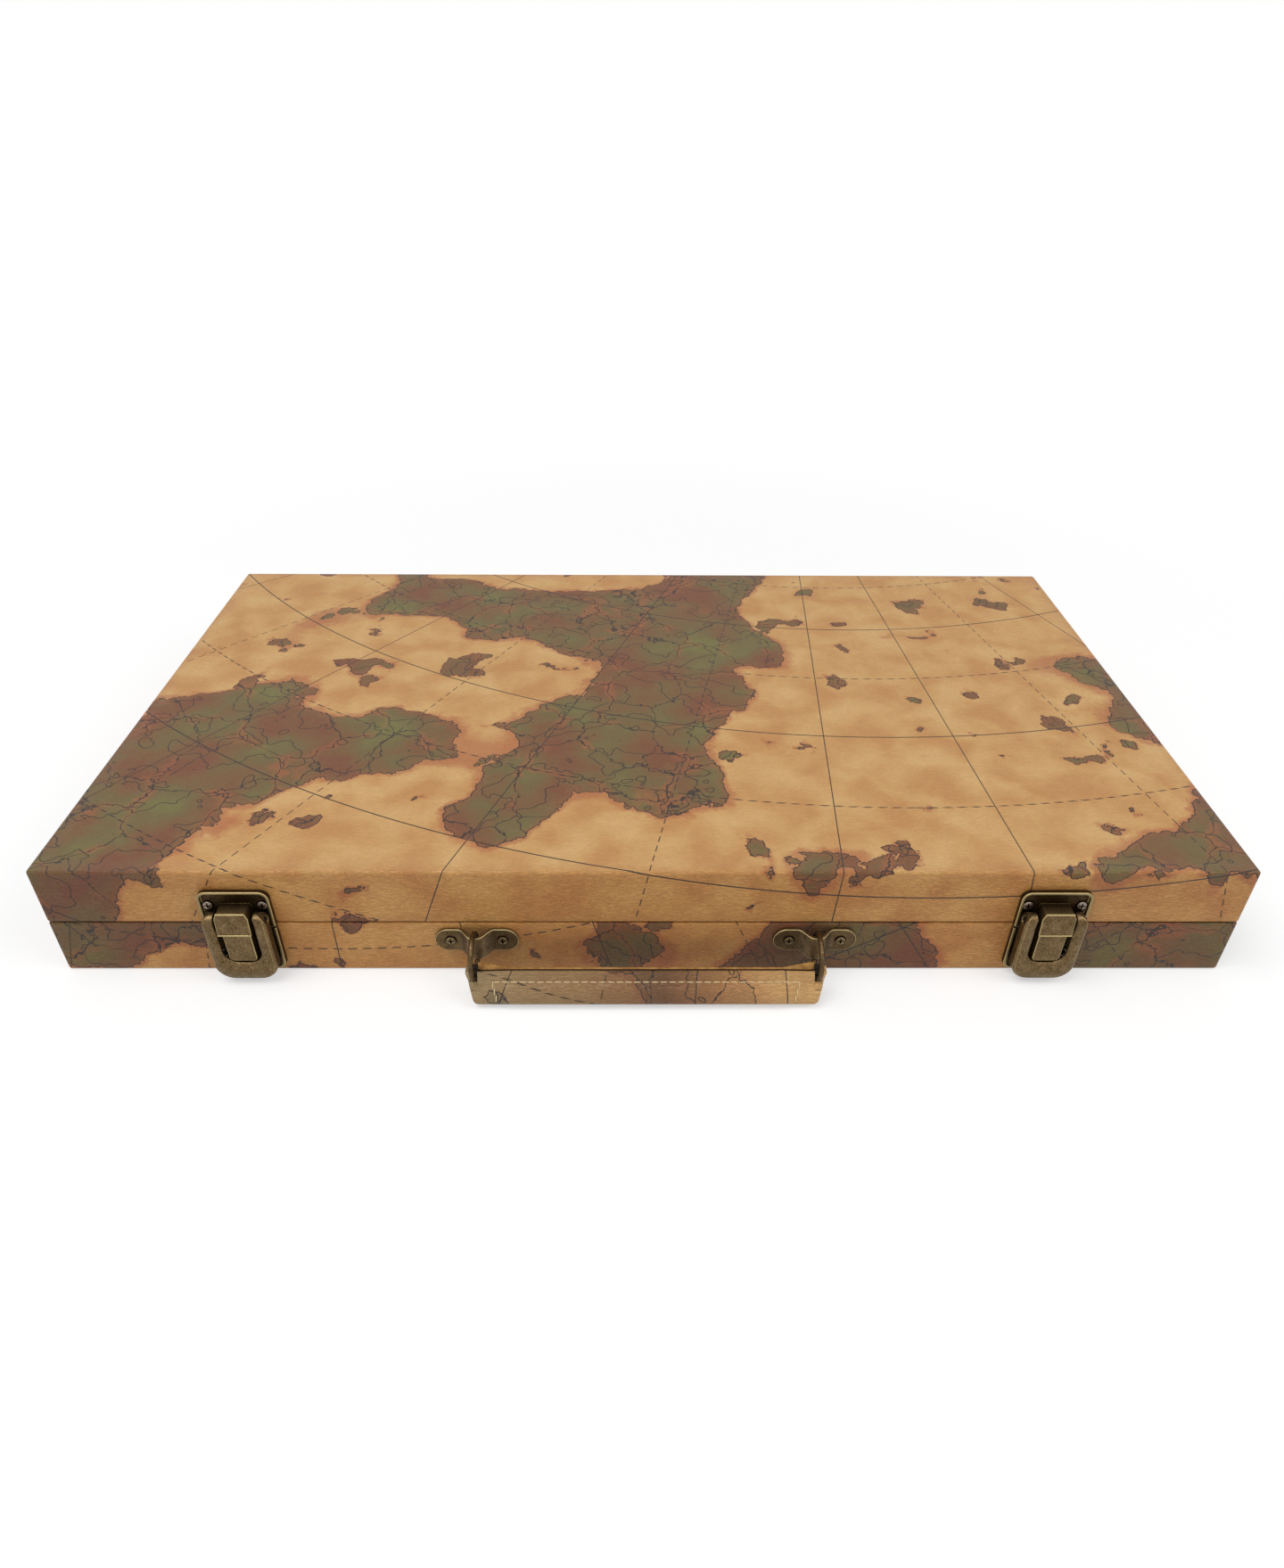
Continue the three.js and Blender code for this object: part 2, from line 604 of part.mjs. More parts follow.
// Hasp: a pressed U-shaped frame, hollow behind, with two round-backed ears on the pivot pin
function hasp() {
  const earTop = pivotZ + earRadius;
  const rim = new THREE.Shape();
  rim.moveTo(-haspHalf + haspCorner, haspBottom);
  rim.lineTo(haspHalf - haspCorner, haspBottom);
  rim.absarc(haspHalf - haspCorner, haspBottom + haspCorner, haspCorner, -Math.PI / 2, 0);
  rim.lineTo(haspHalf, earTop - earCorner);
  rim.absarc(haspHalf - earCorner, earTop - earCorner, earCorner, 0, Math.PI / 2);
  rim.lineTo(windowHalf, earTop);
  rim.lineTo(windowHalf, windowBottom + windowCorner);
  rim.absarc(windowHalf - windowCorner, windowBottom + windowCorner, windowCorner, 0, -Math.PI / 2, true);
  rim.lineTo(-windowHalf + windowCorner, windowBottom);
  rim.absarc(-windowHalf + windowCorner, windowBottom + windowCorner, windowCorner,
    -Math.PI / 2, -Math.PI, true);
  rim.lineTo(-windowHalf, earTop);
  rim.lineTo(-haspHalf + earCorner, earTop);
  rim.absarc(-haspHalf + earCorner, earTop - earCorner, earCorner, Math.PI / 2, Math.PI);
  rim.lineTo(-haspHalf, haspBottom + haspCorner);
  rim.absarc(-haspHalf + haspCorner, haspBottom + haspCorner, haspCorner, Math.PI, 1.5 * Math.PI);
  const pressed = new THREE.ExtrudeGeometry(rim, {
    depth: haspFront - haspBevel,
    bevelSize: haspBevel,
    bevelThickness: haspBevel,
    bevelOffset: -haspBevel,
    bevelSegments,
    curveSegments: cornerSegments,
  }).rotateX(Math.PI / 2);
  const side = new THREE.Shape();
  side.moveTo(haspBack, haspBottom - overrun);
  side.lineTo(haspFront + overrun, haspBottom - overrun);
  side.lineTo(haspFront + overrun, pivotZ);
  side.lineTo(haspFront, pivotZ);
  side.absarc(pivotOut, pivotZ, earRadius, 0, Math.PI);
  side.lineTo(haspBack, pivotZ - earRoot);
  const ears = lengthwise(side, -haspHalf, haspHalf);
  const wall = plateSheet;
  const innerHalf = haspHalf - wall;
  const innerFront = haspFront - haspSheet;
  const hollowTop = pivotZ - earRoot;
  const hollow = outward(roundedRectangle(-innerHalf, innerHalf, haspBottom + wall, hollowTop,
    haspCorner - wall, 0), -overrun, innerFront);
  const bore = barAlongX(haspPinRadius + boreGap, -plateHalf, plateHalf, -pivotOut, pivotZ, smallSides);
  return shaped(cutBy(solid(pressed).intersect(solid(ears)), [hollow, bore]));
}

// Small compression spring between the catch's pocket floor and the lug, as one helix
function latchSpring() {
  const low = pocketBottom + seatGap + springWireRadius;
  const high = lugBottom - seatGap - springWireRadius;
  const centreOut = catchBack + pocketDepth / 2;
  const steps = springTurns * springSteps;
  const centres = [];
  for (let step = 0; step <= steps; step += 1) {
    const turn = (step / springSteps) * 2 * Math.PI;
    centres.push(new THREE.Vector3(springRadius * Math.cos(turn), -centreOut + springRadius * Math.sin(turn),
      low + (high - low) * step / steps));
  }
  return tube(centres, springWireRadius, springSides);
}

// A closed tube with flat ends through a list of points
function tube(centres, radius, sides) {
  const positions = [];
  const faces = [];
  const last = centres.length - 1;
  centres.forEach((centre, index) => {
    const before = centres[Math.max(index - 1, 0)];
    const after = centres[Math.min(index + 1, last)];
    const along = new THREE.Vector3().subVectors(after, before).normalize();
    const up = new THREE.Vector3(0, 0, 1);
    const across = new THREE.Vector3().crossVectors(along, up).normalize();
    const over = new THREE.Vector3().crossVectors(across, along);
    for (let side = 0; side < sides; side += 1) {
      const angle = (side / sides) * 2 * Math.PI;
      const rim = centre.clone()
        .addScaledVector(across, radius * Math.cos(angle))
        .addScaledVector(over, radius * Math.sin(angle));
      positions.push(rim.x, rim.y, rim.z);
    }
  });
  for (let index = 0; index < last; index += 1) {
    for (let side = 0; side < sides; side += 1) {
      const here = index * sides + side;
      const beside = index * sides + (side + 1) % sides;
      faces.push(here, here + sides, beside, beside, here + sides, beside + sides);
    }
  }
  const startCentre = positions.length / 3;
  positions.push(...centres[0].toArray(), ...centres[last].toArray());
  for (let side = 0; side < sides; side += 1) {
    const next = (side + 1) % sides;
    faces.push(startCentre, side, next);
    faces.push(startCentre + 1, last * sides + next, last * sides + side);
  }
  const geometry = new THREE.BufferGeometry();
  geometry.setAttribute('position', new THREE.Float32BufferAttribute(positions, 3));
  geometry.setIndex(faces);
  geometry.computeVertexNormals();
  return geometry;
}

for (const [side, centre] of [['left', -latchX], ['right', latchX]]) {
  const latch = placed(part, centre, frontY, 0);
  addPiece(latch, `latch_${side}_lid_plate`, lidPlate(), oldBrass);
  addPiece(latch, `latch_${side}_tray_plate`, trayPlate(), oldBrass);
  addPiece(latch, `latch_${side}_hasp`, hasp(), oldBrass);
  addPiece(latch, `latch_${side}_hasp_pin`, barAlongX(haspPinRadius, -haspHalf + seatGap, haspHalf - seatGap,
    -pivotOut, pivotZ, smallSides), springSteel);
  addPiece(latch, `latch_${side}_catch`, latchCatch(), oldBrass);
  addPiece(latch, `latch_${side}_spring`, latchSpring(), springSteel);
  addFrontScrews(latch, `latch_${side}_lid`, plateScrewSpacing, lidScrewZ, plateSheet);
  addFrontScrews(latch, `latch_${side}_tray`, trayScrewSpacing, trayScrewZ, plateSheet);
}

// Handle brackets: a flat strap with round ends, raised in the middle into a tunnel for the ring
function bracket() {
  const half = bracketLength / 2;
  const footHalf = strapFootWidth / 2;
  const topHalf = strapTopWidth / 2;
  const strap = new THREE.Shape();
  strap.moveTo(-half, -glueGap);
  strap.lineTo(-half, -bracketSheet);
  strap.lineTo(-footHalf, -bracketSheet);
  strap.lineTo(-topHalf, -strapRise);
  strap.lineTo(topHalf, -strapRise);
  strap.lineTo(footHalf, -bracketSheet);
  strap.lineTo(half, -bracketSheet);
  strap.lineTo(half, -glueGap);
  strap.lineTo(footHalf - strapSheet, -glueGap);
  strap.lineTo(topHalf - strapSheet, -strapRise + strapSheet);
  strap.lineTo(-topHalf + strapSheet, -strapRise + strapSheet);
  strap.lineTo(-footHalf + strapSheet, -glueGap);
  const low = bracketHeightAboveBase - bracketWidth / 2;
  const high = bracketHeightAboveBase + bracketWidth / 2;
  const endRadius = bracketWidth / 2;
  const ends = roundedRectangle(-half, half, low, high, endRadius, endRadius);
  const holes = bothSides.map((side) => barOutward(screwShankRadius + seatGap, -overrun,
    bracketSheet + overrun, side * bracketScrewSpacing / 2, bracketHeightAboveBase, tinySides));
  const body = solid(upright(strap, low, high)).intersect(solid(outward(ends, 0, strapRise + overrun)));
  return shaped(cutBy(body, holes));
}

const ringOut = ringCaseGap + ringWireRadius + ringRadius;
for (const [side, centre] of [['left', -handleX], ['right', handleX]]) {
  const mount = placed(part, centre, frontY, 0);
  addPiece(mount, `handle_${side}_bracket`, bracket(), oldBrass);
  addFrontScrews(mount, `handle_${side}`, bracketScrewSpacing, bracketHeightAboveBase, bracketSheet);
  const ring = new THREE.TorusGeometry(ringRadius, ringWireRadius, tinySides, ringSteps)
    .rotateY(Math.PI / 2).translate(0, -ringOut, bracketHeightAboveBase);
  addPiece(mount, `handle_${side}_ring`, ring, oldBrass);
}

// Handle: a steel core with a neck at each end inside the rings, wrapped in folded leatherette.
// Its own frame has the necks' axis as X; down runs towards the fold and -Y to its front face.
const neckReach = ringRadius - ringWireRadius - slideGap - neckRadius;
const neckTurn = THREE.MathUtils.degToRad(neckAngle);
const handle = placed(part, 0, frontY - ringOut - neckReach * Math.sin(neckTurn),
  bracketHeightAboveBase - neckReach * Math.cos(neckTurn));
handle.rotation.x = -THREE.MathUtils.degToRad(handleAngle);

function handleProfile() {
  const edgeHalf = handleEdgeThickness / 2;
  const fullHalf = handleFullThickness / 2;
  const bendDepth = (handleFlatDepth + handleBulgeDepth) / 2;
  const profile = new THREE.Shape();
  profile.moveTo(-edgeHalf, handleLipHeight);
  profile.lineTo(-edgeHalf, -handleFlatDepth);
  profile.bezierCurveTo(-edgeHalf, -bendDepth, -fullHalf, -bendDepth, -fullHalf, -handleBulgeDepth);
  profile.quadraticCurveTo(-fullHalf, -handleFoldDepth, -handleFoldRadius, -handleFoldDepth);
  profile.absarc(0, -handleFoldDepth, handleFoldRadius, Math.PI, 2 * Math.PI);
  profile.quadraticCurveTo(fullHalf, -handleFoldDepth, fullHalf, -handleBulgeDepth);
  profile.bezierCurveTo(fullHalf, -bendDepth, edgeHalf, -bendDepth, edgeHalf, -handleFlatDepth);
  profile.lineTo(edgeHalf, handleLipHeight);
  return profile;
}

function handleOutline() {
  const top = handleLipHeight;
  const bottom = -handleFoldDepth - handleFoldRadius;
  const topHalf = handleTopLength / 2;
  const bottomHalf = topHalf - handleEndTaper;
  const outline = new THREE.Shape();
  outline.moveTo(-topHalf, top);
  outline.lineTo(-bottomHalf, bottom + handleCorner);
  outline.quadraticCurveTo(-bottomHalf, bottom, -bottomHalf + handleCorner, bottom);
  outline.lineTo(bottomHalf - handleCorner, bottom);
  outline.quadraticCurveTo(bottomHalf, bottom, bottomHalf, bottom + handleCorner);
  outline.lineTo(topHalf, top);
  return outline;
}

// Windows at both ends through which the rings pass
function handleWindows(width, top) {
  return handleCentres.map((centre) => block(centre - width / 2, centre + width / 2,
    -handleFullThickness, handleFullThickness, -handleSlotDepth, top));
}

const coreHalf = handleTopLength / 2 - coreEndInset;
const coreBottomHalf = coreHalf - handleEndTaper - handleCorner / 2;
const coreShape = polygon([[-coreHalf, coreNeckHeight], [-coreBottomHalf, -coreDepth],
  [coreBottomHalf, -coreDepth], [coreHalf, coreNeckHeight]]);
const core = solid(outward(coreShape, -coreThickness / 2, coreThickness / 2));
const coreRoom = outward(polygon([
  [-coreHalf - seatGap, handleLipHeight + overrun], [-coreHalf - seatGap, coreNeckHeight],
  [-coreBottomHalf - seatGap, -coreDepth - seatGap], [coreBottomHalf + seatGap, -coreDepth - seatGap],
  [coreHalf + seatGap, coreNeckHeight], [coreHalf + seatGap, handleLipHeight + overrun]]),
  -coreThickness / 2 - seatGap, coreThickness / 2 + seatGap);
const wrapped = solid(lengthwise(handleProfile(), -handleTopLength, handleTopLength))
  .intersect(solid(outward(handleOutline(), -handleFullThickness, handleFullThickness)));
const coverCuts = [coreRoom, ...handleWindows(handleSlotWidth, handleLipHeight + overrun)];
addPiece(handle, 'handle_cover', shaped(cutBy(wrapped, coverCuts)), leatherette);
addPiece(handle, 'handle_core',
  shaped(cutBy(core, handleWindows(handleSlotWidth, -coreNeckHeight))), springSteel);

// Checkers stand on edge in one row in the tray's trough, with the dice and the cube beyond them.
// What the row leaves free of the trough's length is shared between the two ends.
// A slim core joins each colour's checkers.
const troughY = -boardHalfY + (troughWidth - glueGap) / 2;
const checkerZ = liningTop + restGap + checkerDiameter / 2;
const colourLength = checkersPerSide * checkerPitch;
const diceRowLength = (dicePerSide + 1) * diePitch + cubeSize / 2;
const freeLength = 2 * boardHalfX - 2 * colourLength - diceRowLength;
const checkersStart = -boardHalfX + freeLength * storeLeftShare;

function checkerRow(firstX) {
  const lastX = firstX + (checkersPerSide - 1) * checkerPitch;
  const row = [barAlongX(checkerCoreRadius, firstX, lastX, troughY, checkerZ, tinySides)];
  for (let index = 0; index < checkersPerSide; index += 1) {
    const x = firstX + index * checkerPitch;
    row.push(barAlongX(checkerDiameter / 2, x - checkerThickness / 2, x + checkerThickness / 2,
      troughY, checkerZ, roundSides));
  }
  return together(row);
}
addPiece(part, 'checkers_light', checkerRow(checkersStart + checkerPitch / 2), lightResin);
addPiece(part, 'checkers_dark', checkerRow(checkersStart + colourLength + checkerPitch / 2), darkResin);

// Dice and the doubling cube
const diceStart = checkersStart + 2 * colourLength + diePitch;
const dieLow = liningTop + restGap;
for (const [tone, y, resin] of [
  ['light', troughY - diePitch / 2, lightResin], ['dark', troughY + diePitch / 2, darkResin]]) {
  for (let index = 0; index < dicePerSide; index += 1) {
    const x = diceStart + index * diePitch;
    addPiece(part, `die_${tone}_${index + 1}`, block(x - dieSize / 2, x + dieSize / 2,
      y - dieSize / 2, y + dieSize / 2, dieLow, dieLow + dieSize), resin);
  }
}
const cubeX = diceStart + dicePerSide * diePitch;
addPiece(part, 'doubling_cube', block(cubeX - cubeSize / 2, cubeX + cubeSize / 2, troughY - cubeSize / 2,
  troughY + cubeSize / 2, dieLow, dieLow + cubeSize), lightResin);

// Slim oval dice cups lie on the points, mouths outwards
function oval(width, height) {
  const shape = new THREE.Shape();
  shape.absellipse(0, 0, width / 2, height / 2, 0, 2 * Math.PI);
  return shape;
}

function ovalBar(width, height, x0, x1) {
  return new THREE.ExtrudeGeometry(oval(width, height), {
    depth: x1 - x0, bevelEnabled: false, curveSegments: ovalSides,
  }).translate(0, 0, -x1).applyMatrix4(sideways);
}

const cupZ = pointTop + restGap + cupHeight / 2;
for (const [name, side] of [['left', -1], ['right', 1]]) {
  const cup = placed(part, side * cupSpacing / 2, cupSetBack, cupZ);
  const half = cupLength / 2;
  const ends = (from, to) => [Math.min(side * from, side * to), Math.max(side * from, side * to)];
  const room = ovalBar(cupWidth - 2 * cupWall, cupHeight - 2 * cupWall,
    ...ends(-half + cupFloor, half + overrun));
  addPiece(cup, `dice_cup_${name}`,
    shaped(cutBy(solid(ovalBar(cupWidth, cupHeight, ...ends(-half, half))), [room])), boardHide);
  const liningWidth = cupWidth - 2 * cupWall - 2 * glueGap;
  const liningHeight = cupHeight - 2 * cupWall - 2 * glueGap;
  const liningStart = -half + cupFloor + glueGap;
  const liningRoom = ovalBar(liningWidth - 2 * cupLining, liningHeight - 2 * cupLining,
    ...ends(liningStart + cupLining, half + overrun));
  const liningBlock = ovalBar(liningWidth, liningHeight, ...ends(liningStart, half - cupLining));
  addPiece(cup, `dice_cup_${name}_lining`, shaped(cutBy(solid(liningBlock), [liningRoom])), feltLining);
}

export default part;
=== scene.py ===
# A travel backgammon set, closed and lying flat with its latches and handle towards the camera.
import math
import bmesh
import bpy
from mathutils import Matrix, Vector, noise


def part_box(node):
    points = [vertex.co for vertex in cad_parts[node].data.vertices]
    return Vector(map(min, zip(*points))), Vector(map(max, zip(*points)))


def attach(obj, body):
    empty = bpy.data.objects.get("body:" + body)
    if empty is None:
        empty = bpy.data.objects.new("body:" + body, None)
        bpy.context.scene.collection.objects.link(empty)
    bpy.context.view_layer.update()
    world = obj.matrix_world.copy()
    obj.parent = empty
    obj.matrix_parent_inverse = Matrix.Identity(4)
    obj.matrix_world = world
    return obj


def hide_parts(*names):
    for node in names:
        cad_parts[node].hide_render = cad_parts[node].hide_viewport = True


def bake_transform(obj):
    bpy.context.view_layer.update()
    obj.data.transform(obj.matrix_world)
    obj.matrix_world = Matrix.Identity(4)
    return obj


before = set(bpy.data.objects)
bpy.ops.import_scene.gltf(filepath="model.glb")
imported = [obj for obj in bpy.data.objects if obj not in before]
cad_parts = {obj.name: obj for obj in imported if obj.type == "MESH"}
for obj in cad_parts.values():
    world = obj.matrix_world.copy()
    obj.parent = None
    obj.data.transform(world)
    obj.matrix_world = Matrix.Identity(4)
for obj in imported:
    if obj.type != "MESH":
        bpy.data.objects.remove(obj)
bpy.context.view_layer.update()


# Case core
# A fibreboard panel stiffens the outer face of each half, and a wooden rim and a low rail stand
# on it. The wood is beech, stained a warm brown and rubbed with oil: fine dark flecks along the
# grain and a low sheen.
mm = 0.001


def linear(code):
    """An sRGB hex colour as linear red, green, blue and alpha."""
    channels = [int(code[start:start + 2], 16) / 255 for start in (1, 3, 5)]
    return [c / 12.92 if c <= 0.04045 else ((c + 0.055) / 1.055) ** 2.4 for c in channels] + [1.0]


def add(tree, kind, feeds=None, stops=None, **settings):
    """Adds a node, sets its options, and feeds its inputs with values, colours or other nodes. A
    shader node's kind is given without its first words."""
    node = tree.nodes.new(kind if tree.type == "GEOMETRY" else f"ShaderNode{kind}")
    for option, value in settings.items():
        setattr(node, option, value)
    for place, (position, code) in enumerate(stops or []):
        if place > 1:
            node.color_ramp.elements.new(position)
        node.color_ramp.elements[place].position = position
        node.color_ramp.elements[place].color = linear(code)
    for key, source in (feeds or {}).items():
        if isinstance(key, int):
            socket = node.inputs[key]
        else:
            socket = next(s for s in node.inputs if s.enabled and s.name == key)
        if isinstance(source, bpy.types.Node):
            source = next(s for s in source.outputs if s.enabled)
        if isinstance(source, tuple) and isinstance(source[0], bpy.types.Node):
            source = source[0].outputs[source[1]]
        if isinstance(source, bpy.types.NodeSocket):
            tree.links.new(source, socket)
        elif isinstance(source, str) and source.startswith("#"):
            socket.default_value = linear(source)
        else:
            socket.default_value = source
    return node


def new_finish(name, **sockets):
    """A material with its shader; values that are the same all over are set on the sockets."""
    finish = bpy.data.materials.new(name)
    finish.use_nodes = True
    shader = finish.node_tree.nodes["Principled BSDF"]
    for key, value in sockets.items():
        shader.inputs[key.replace("_", " ").title().replace("Ior", "IOR")].default_value = value
    return finish, finish.node_tree, shader


def feed(tree, shader, name, source):
    """Links a node's first output in use to one of the shader's sockets."""
    tree.links.new(next(s for s in source.outputs if s.enabled), shader.inputs[name])


def dress(node, finish):
    """Gives a CAD node that keeps its shape its finish."""
    for material_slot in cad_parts[node].material_slots:
        material_slot.material = finish


stained_beech, tree, shader = new_finish("stained_beech", specular_ior_level=0.4)
fleck_length = 9 * mm
fleck_width = 0.7 * mm
place = add(tree, "TexCoord")
along = add(tree, "Mapping",
            {"Vector": (place, "Object"), "Scale": (1 / fleck_length, 1 / fleck_width, 1 / fleck_width)})
flecks = add(tree, "TexNoise", {"Vector": along, "Scale": 1.0, "Detail": 4.0, "Distortion": 0.3})
tone = add(tree, "ValToRGB", {"Fac": flecks},
           stops=[(0.3, "#4E2E18"), (0.52, "#6E4526"), (0.75, "#835733")])
feed(tree, shader, "Base Color", tone)
sheen = add(tree, "MapRange", {"Value": flecks, "To Min": 0.5, "To Max": 0.36})
feed(tree, shader, "Roughness", sheen)
relief = add(tree, "Bump", {"Height": flecks, "Strength": 0.4, "Distance": 0.08 * mm})
feed(tree, shader, "Normal", relief)


def mottled(name, grain, detail, tones, roughness, relief=None, painted_shade=None, **sockets):
    """A finish with one fine mottling: grain is its size, tones are the colours it runs through,
    roughness is what it runs between, and relief is how strong and deep its bumps are. A shade
    colour, if given, is painted as shade on the faces that are marked for painted shade."""
    finish, tree, shader = new_finish(name, **sockets)
    place = add(tree, "TexCoord")
    mottling = add(tree, "TexNoise", {"Vector": (place, "Object"), "Scale": 1 / grain, "Detail": detail})
    tone = add(tree, "ValToRGB", {"Fac": mottling}, stops=tones)
    # Faces marked for painted shade take the shade colour
    if painted_shade:
        shade_mask = add(tree, "Attribute", attribute_name="painted_shade")
        tone = add(tree, "Mix", {"Factor": (shade_mask, "Fac"), "A": tone, "B": painted_shade}, data_type="RGBA")
    feed(tree, shader, "Base Color", tone)
    dull = add(tree, "MapRange", {"Value": mottling, "To Min": roughness[0], "To Max": roughness[1]})
    feed(tree, shader, "Roughness", dull)
    if relief:
        bumps = add(tree, "Bump", {"Height": mottling, "Strength": relief[0], "Distance": relief[1]})
        feed(tree, shader, "Normal", bumps)
    return finish


# Pressed fibreboard: short pale fibres in a dull brown ground
fibreboard = mottled("pressed_fibreboard", 1.2 * mm, 5.0, [(0.35, "#745537"), (0.7, "#96724C")],
                     (0.8, 0.95), specular_ior_level=0.3)

for half in ("tray", "lid"):
    dress(f"{half}_panel", fibreboard)
    dress(f"{half}_frame", stained_beech)
    dress(f"{half}_divider", stained_beech)


# Covers
# Each half is wrapped in one sheet of printed leatherette, drawn round the case's edges, folded
# at the corners and glued down over the wooden rim. The sheet is embossed with short wavy
# wrinkles, which show most on the walls, and puckers where it turns over an edge.
lid_low, lid_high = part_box("lid_cover")
tray_low, tray_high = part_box("tray_cover")
half_width = tray_high.x
half_depth = tray_high.y
half_height = tray_high.z - tray_low.z
skin = 0.8 * mm
turn_in = 8 * mm
edge_radius = 1.1 * mm
corner_radius = 1.3 * mm
rim_radius = 0.7 * mm
corner_steps = 6
side_steps = 12
edge_steps = 6
corner_signs = [(1, -1), (1, 1), (-1, 1), (-1, -1)]


def plan_places():
    """Points round the case in plan, anticlockwise from the front's left end. Each has its kind,
    its side or corner, its share along the side or its turning, and the side it belongs to."""
    places = []
    for side in range(4):
        for step in range(side_steps):
            places.append(("straight", side, step / side_steps, side))
        for step in range(2 * corner_steps):
            turned = side if step < corner_steps else (side + 1) % 4
            angle = math.radians(90 * side - 90 + 45 * step / corner_steps)
            places.append(("corner", side, angle, turned))
    return places


def plan_point(place, inset):
    """Where a place lies when the case's outline is drawn in by inset."""
    kind, side, share, _ = place
    radius = max(corner_radius - inset, 0.1 * mm)
    reach_x = half_width - inset - radius
    reach_y = half_depth - inset - radius
    end_x, end_y = corner_signs[side]
    start_x, start_y = corner_signs[side - 1]
    if kind == "straight":
        outward_turn = math.radians(-90 + 90 * side)
        x = reach_x * (start_x + (end_x - start_x) * share) + radius * round(math.cos(outward_turn))
        y = reach_y * (start_y + (end_y - start_y) * share) + radius * round(math.sin(outward_turn))
        return x, y
    return reach_x * end_x + radius * math.cos(share), reach_y * end_y + radius * math.sin(share)


def unfolded(place, side, beyond):
    """Where a point of the wall lies on the flat sheet: beyond is how far past the flat face it is."""
    kind, corner, share, _ = place
    reach_x = half_width - corner_radius
    reach_y = half_depth - corner_radius
    outer_x, outer_y = plan_point(place, 0)
    if kind == "corner":
        start = math.radians(-90 + 90 * corner)
        arc = share - start if side == corner else math.radians(90) - (share - start)
        arc *= corner_radius
        end_x, end_y = corner_signs[corner]
        outer_x = end_x * (reach_x + (arc if side in (0, 2) else 0))
        outer_y = end_y * (reach_y + (arc if side in (1, 3) else 0))
    flat_x = half_width - edge_radius + beyond
    flat_y = half_depth - edge_radius + beyond
    return [(outer_x, -flat_y), (flat_x, outer_y), (outer_x, flat_y), (-flat_x, outer_y)][side]


def cover_rows():
    """The cover's section from the middle of its outer face round the edge, down the wall, over
    the rim and back inside: how far in, how high, and how much of a wall and of a fold it is."""
    rows = [(30 * mm, 0, 0, 0), (7 * mm, 0, 0, 0), (4 * mm, 0, 0.1, 0.5), (2.4 * mm, 0, 0.3, 0.9)]
    for step in range(edge_steps + 1):
        turn = math.radians(90 * step / edge_steps)
        rows.append((edge_radius * (1 - math.sin(turn)), edge_radius * (1 - math.cos(turn)),
                     0.4 + 0.5 * step / edge_steps, 1 - 0.5 * step / edge_steps))
    rows.append((0, 3.4 * mm, 1, 0.25))
    rows.append((0, 5.5 * mm, 1, 0))
    rows.append((0, half_height - 3 * mm, 1, 0))
    for step in range(edge_steps + 1):
        turn = math.radians(90 * step / edge_steps)
        rows.append((rim_radius * (1 - math.cos(turn)), half_height - rim_radius * (1 - math.sin(turn)),
                     1, 0.2))
    rows.append((skin + turn_in - 0.2 * mm, half_height, 0.6, 0))
    rows.append((skin + turn_in, half_height - 0.2 * mm, 0.6, 0))
    rows.append((skin + turn_in, half_height - skin, 0.6, 0))
    rows.append((skin, half_height - skin, 0, 0))
    rows.append((skin, skin, 0, 0))
    return rows


seat_clear = 0.3 * mm
seat_depth = 1.1 * mm
seat_reach = 14 * mm


def hinge_notches(edge):
    """Blocks that cut the seats of the two hinge leaves out of a cover's rim."""
    blocks = bmesh.new()
    for side in ("left", "right"):
        low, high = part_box(f"hinge_{side}_tray_leaf")
        size = Vector((high.x - low.x + 2 * seat_clear, seat_reach, 2 * seat_depth))
        centre = Vector(((low.x + high.x) / 2, low.y - seat_clear + size.y / 2, edge))
        seat = Matrix.Translation(centre) @ Matrix.Diagonal((*size, 1))
        bmesh.ops.create_cube(blocks, size=1, matrix=seat)
    mesh = bpy.data.meshes.new("hinge_notches")
    blocks.to_mesh(mesh)
    blocks.free()
    return bpy.data.objects.new("hinge_notches", mesh)


def settled(work, name, *extras):
    """The evaluated shape of a working object as a plain object with no modifiers."""
    for other in (work, *extras):
        if other.name not in bpy.context.scene.collection.objects:
            bpy.context.scene.collection.objects.link(other)
    bpy.context.view_layer.update()
    mesh = bpy.data.meshes.new_from_object(work.evaluated_get(bpy.context.evaluated_depsgraph_get()))
    for other in (work, *extras):
        bpy.data.objects.remove(other)
    return plain(mesh, name)


def plain(mesh, name):
    """An object at the origin for a finished mesh."""
    mesh.name = name
    piece = bpy.data.objects.new(name, mesh)
    bpy.context.scene.collection.objects.link(piece)
    return piece


def smooth(mesh, angle=35):
    """Smooth shading, with edges sharper than the angle kept crisp."""
    mesh.shade_smooth()
    mesh.set_sharp_from_angle(angle=math.radians(angle))


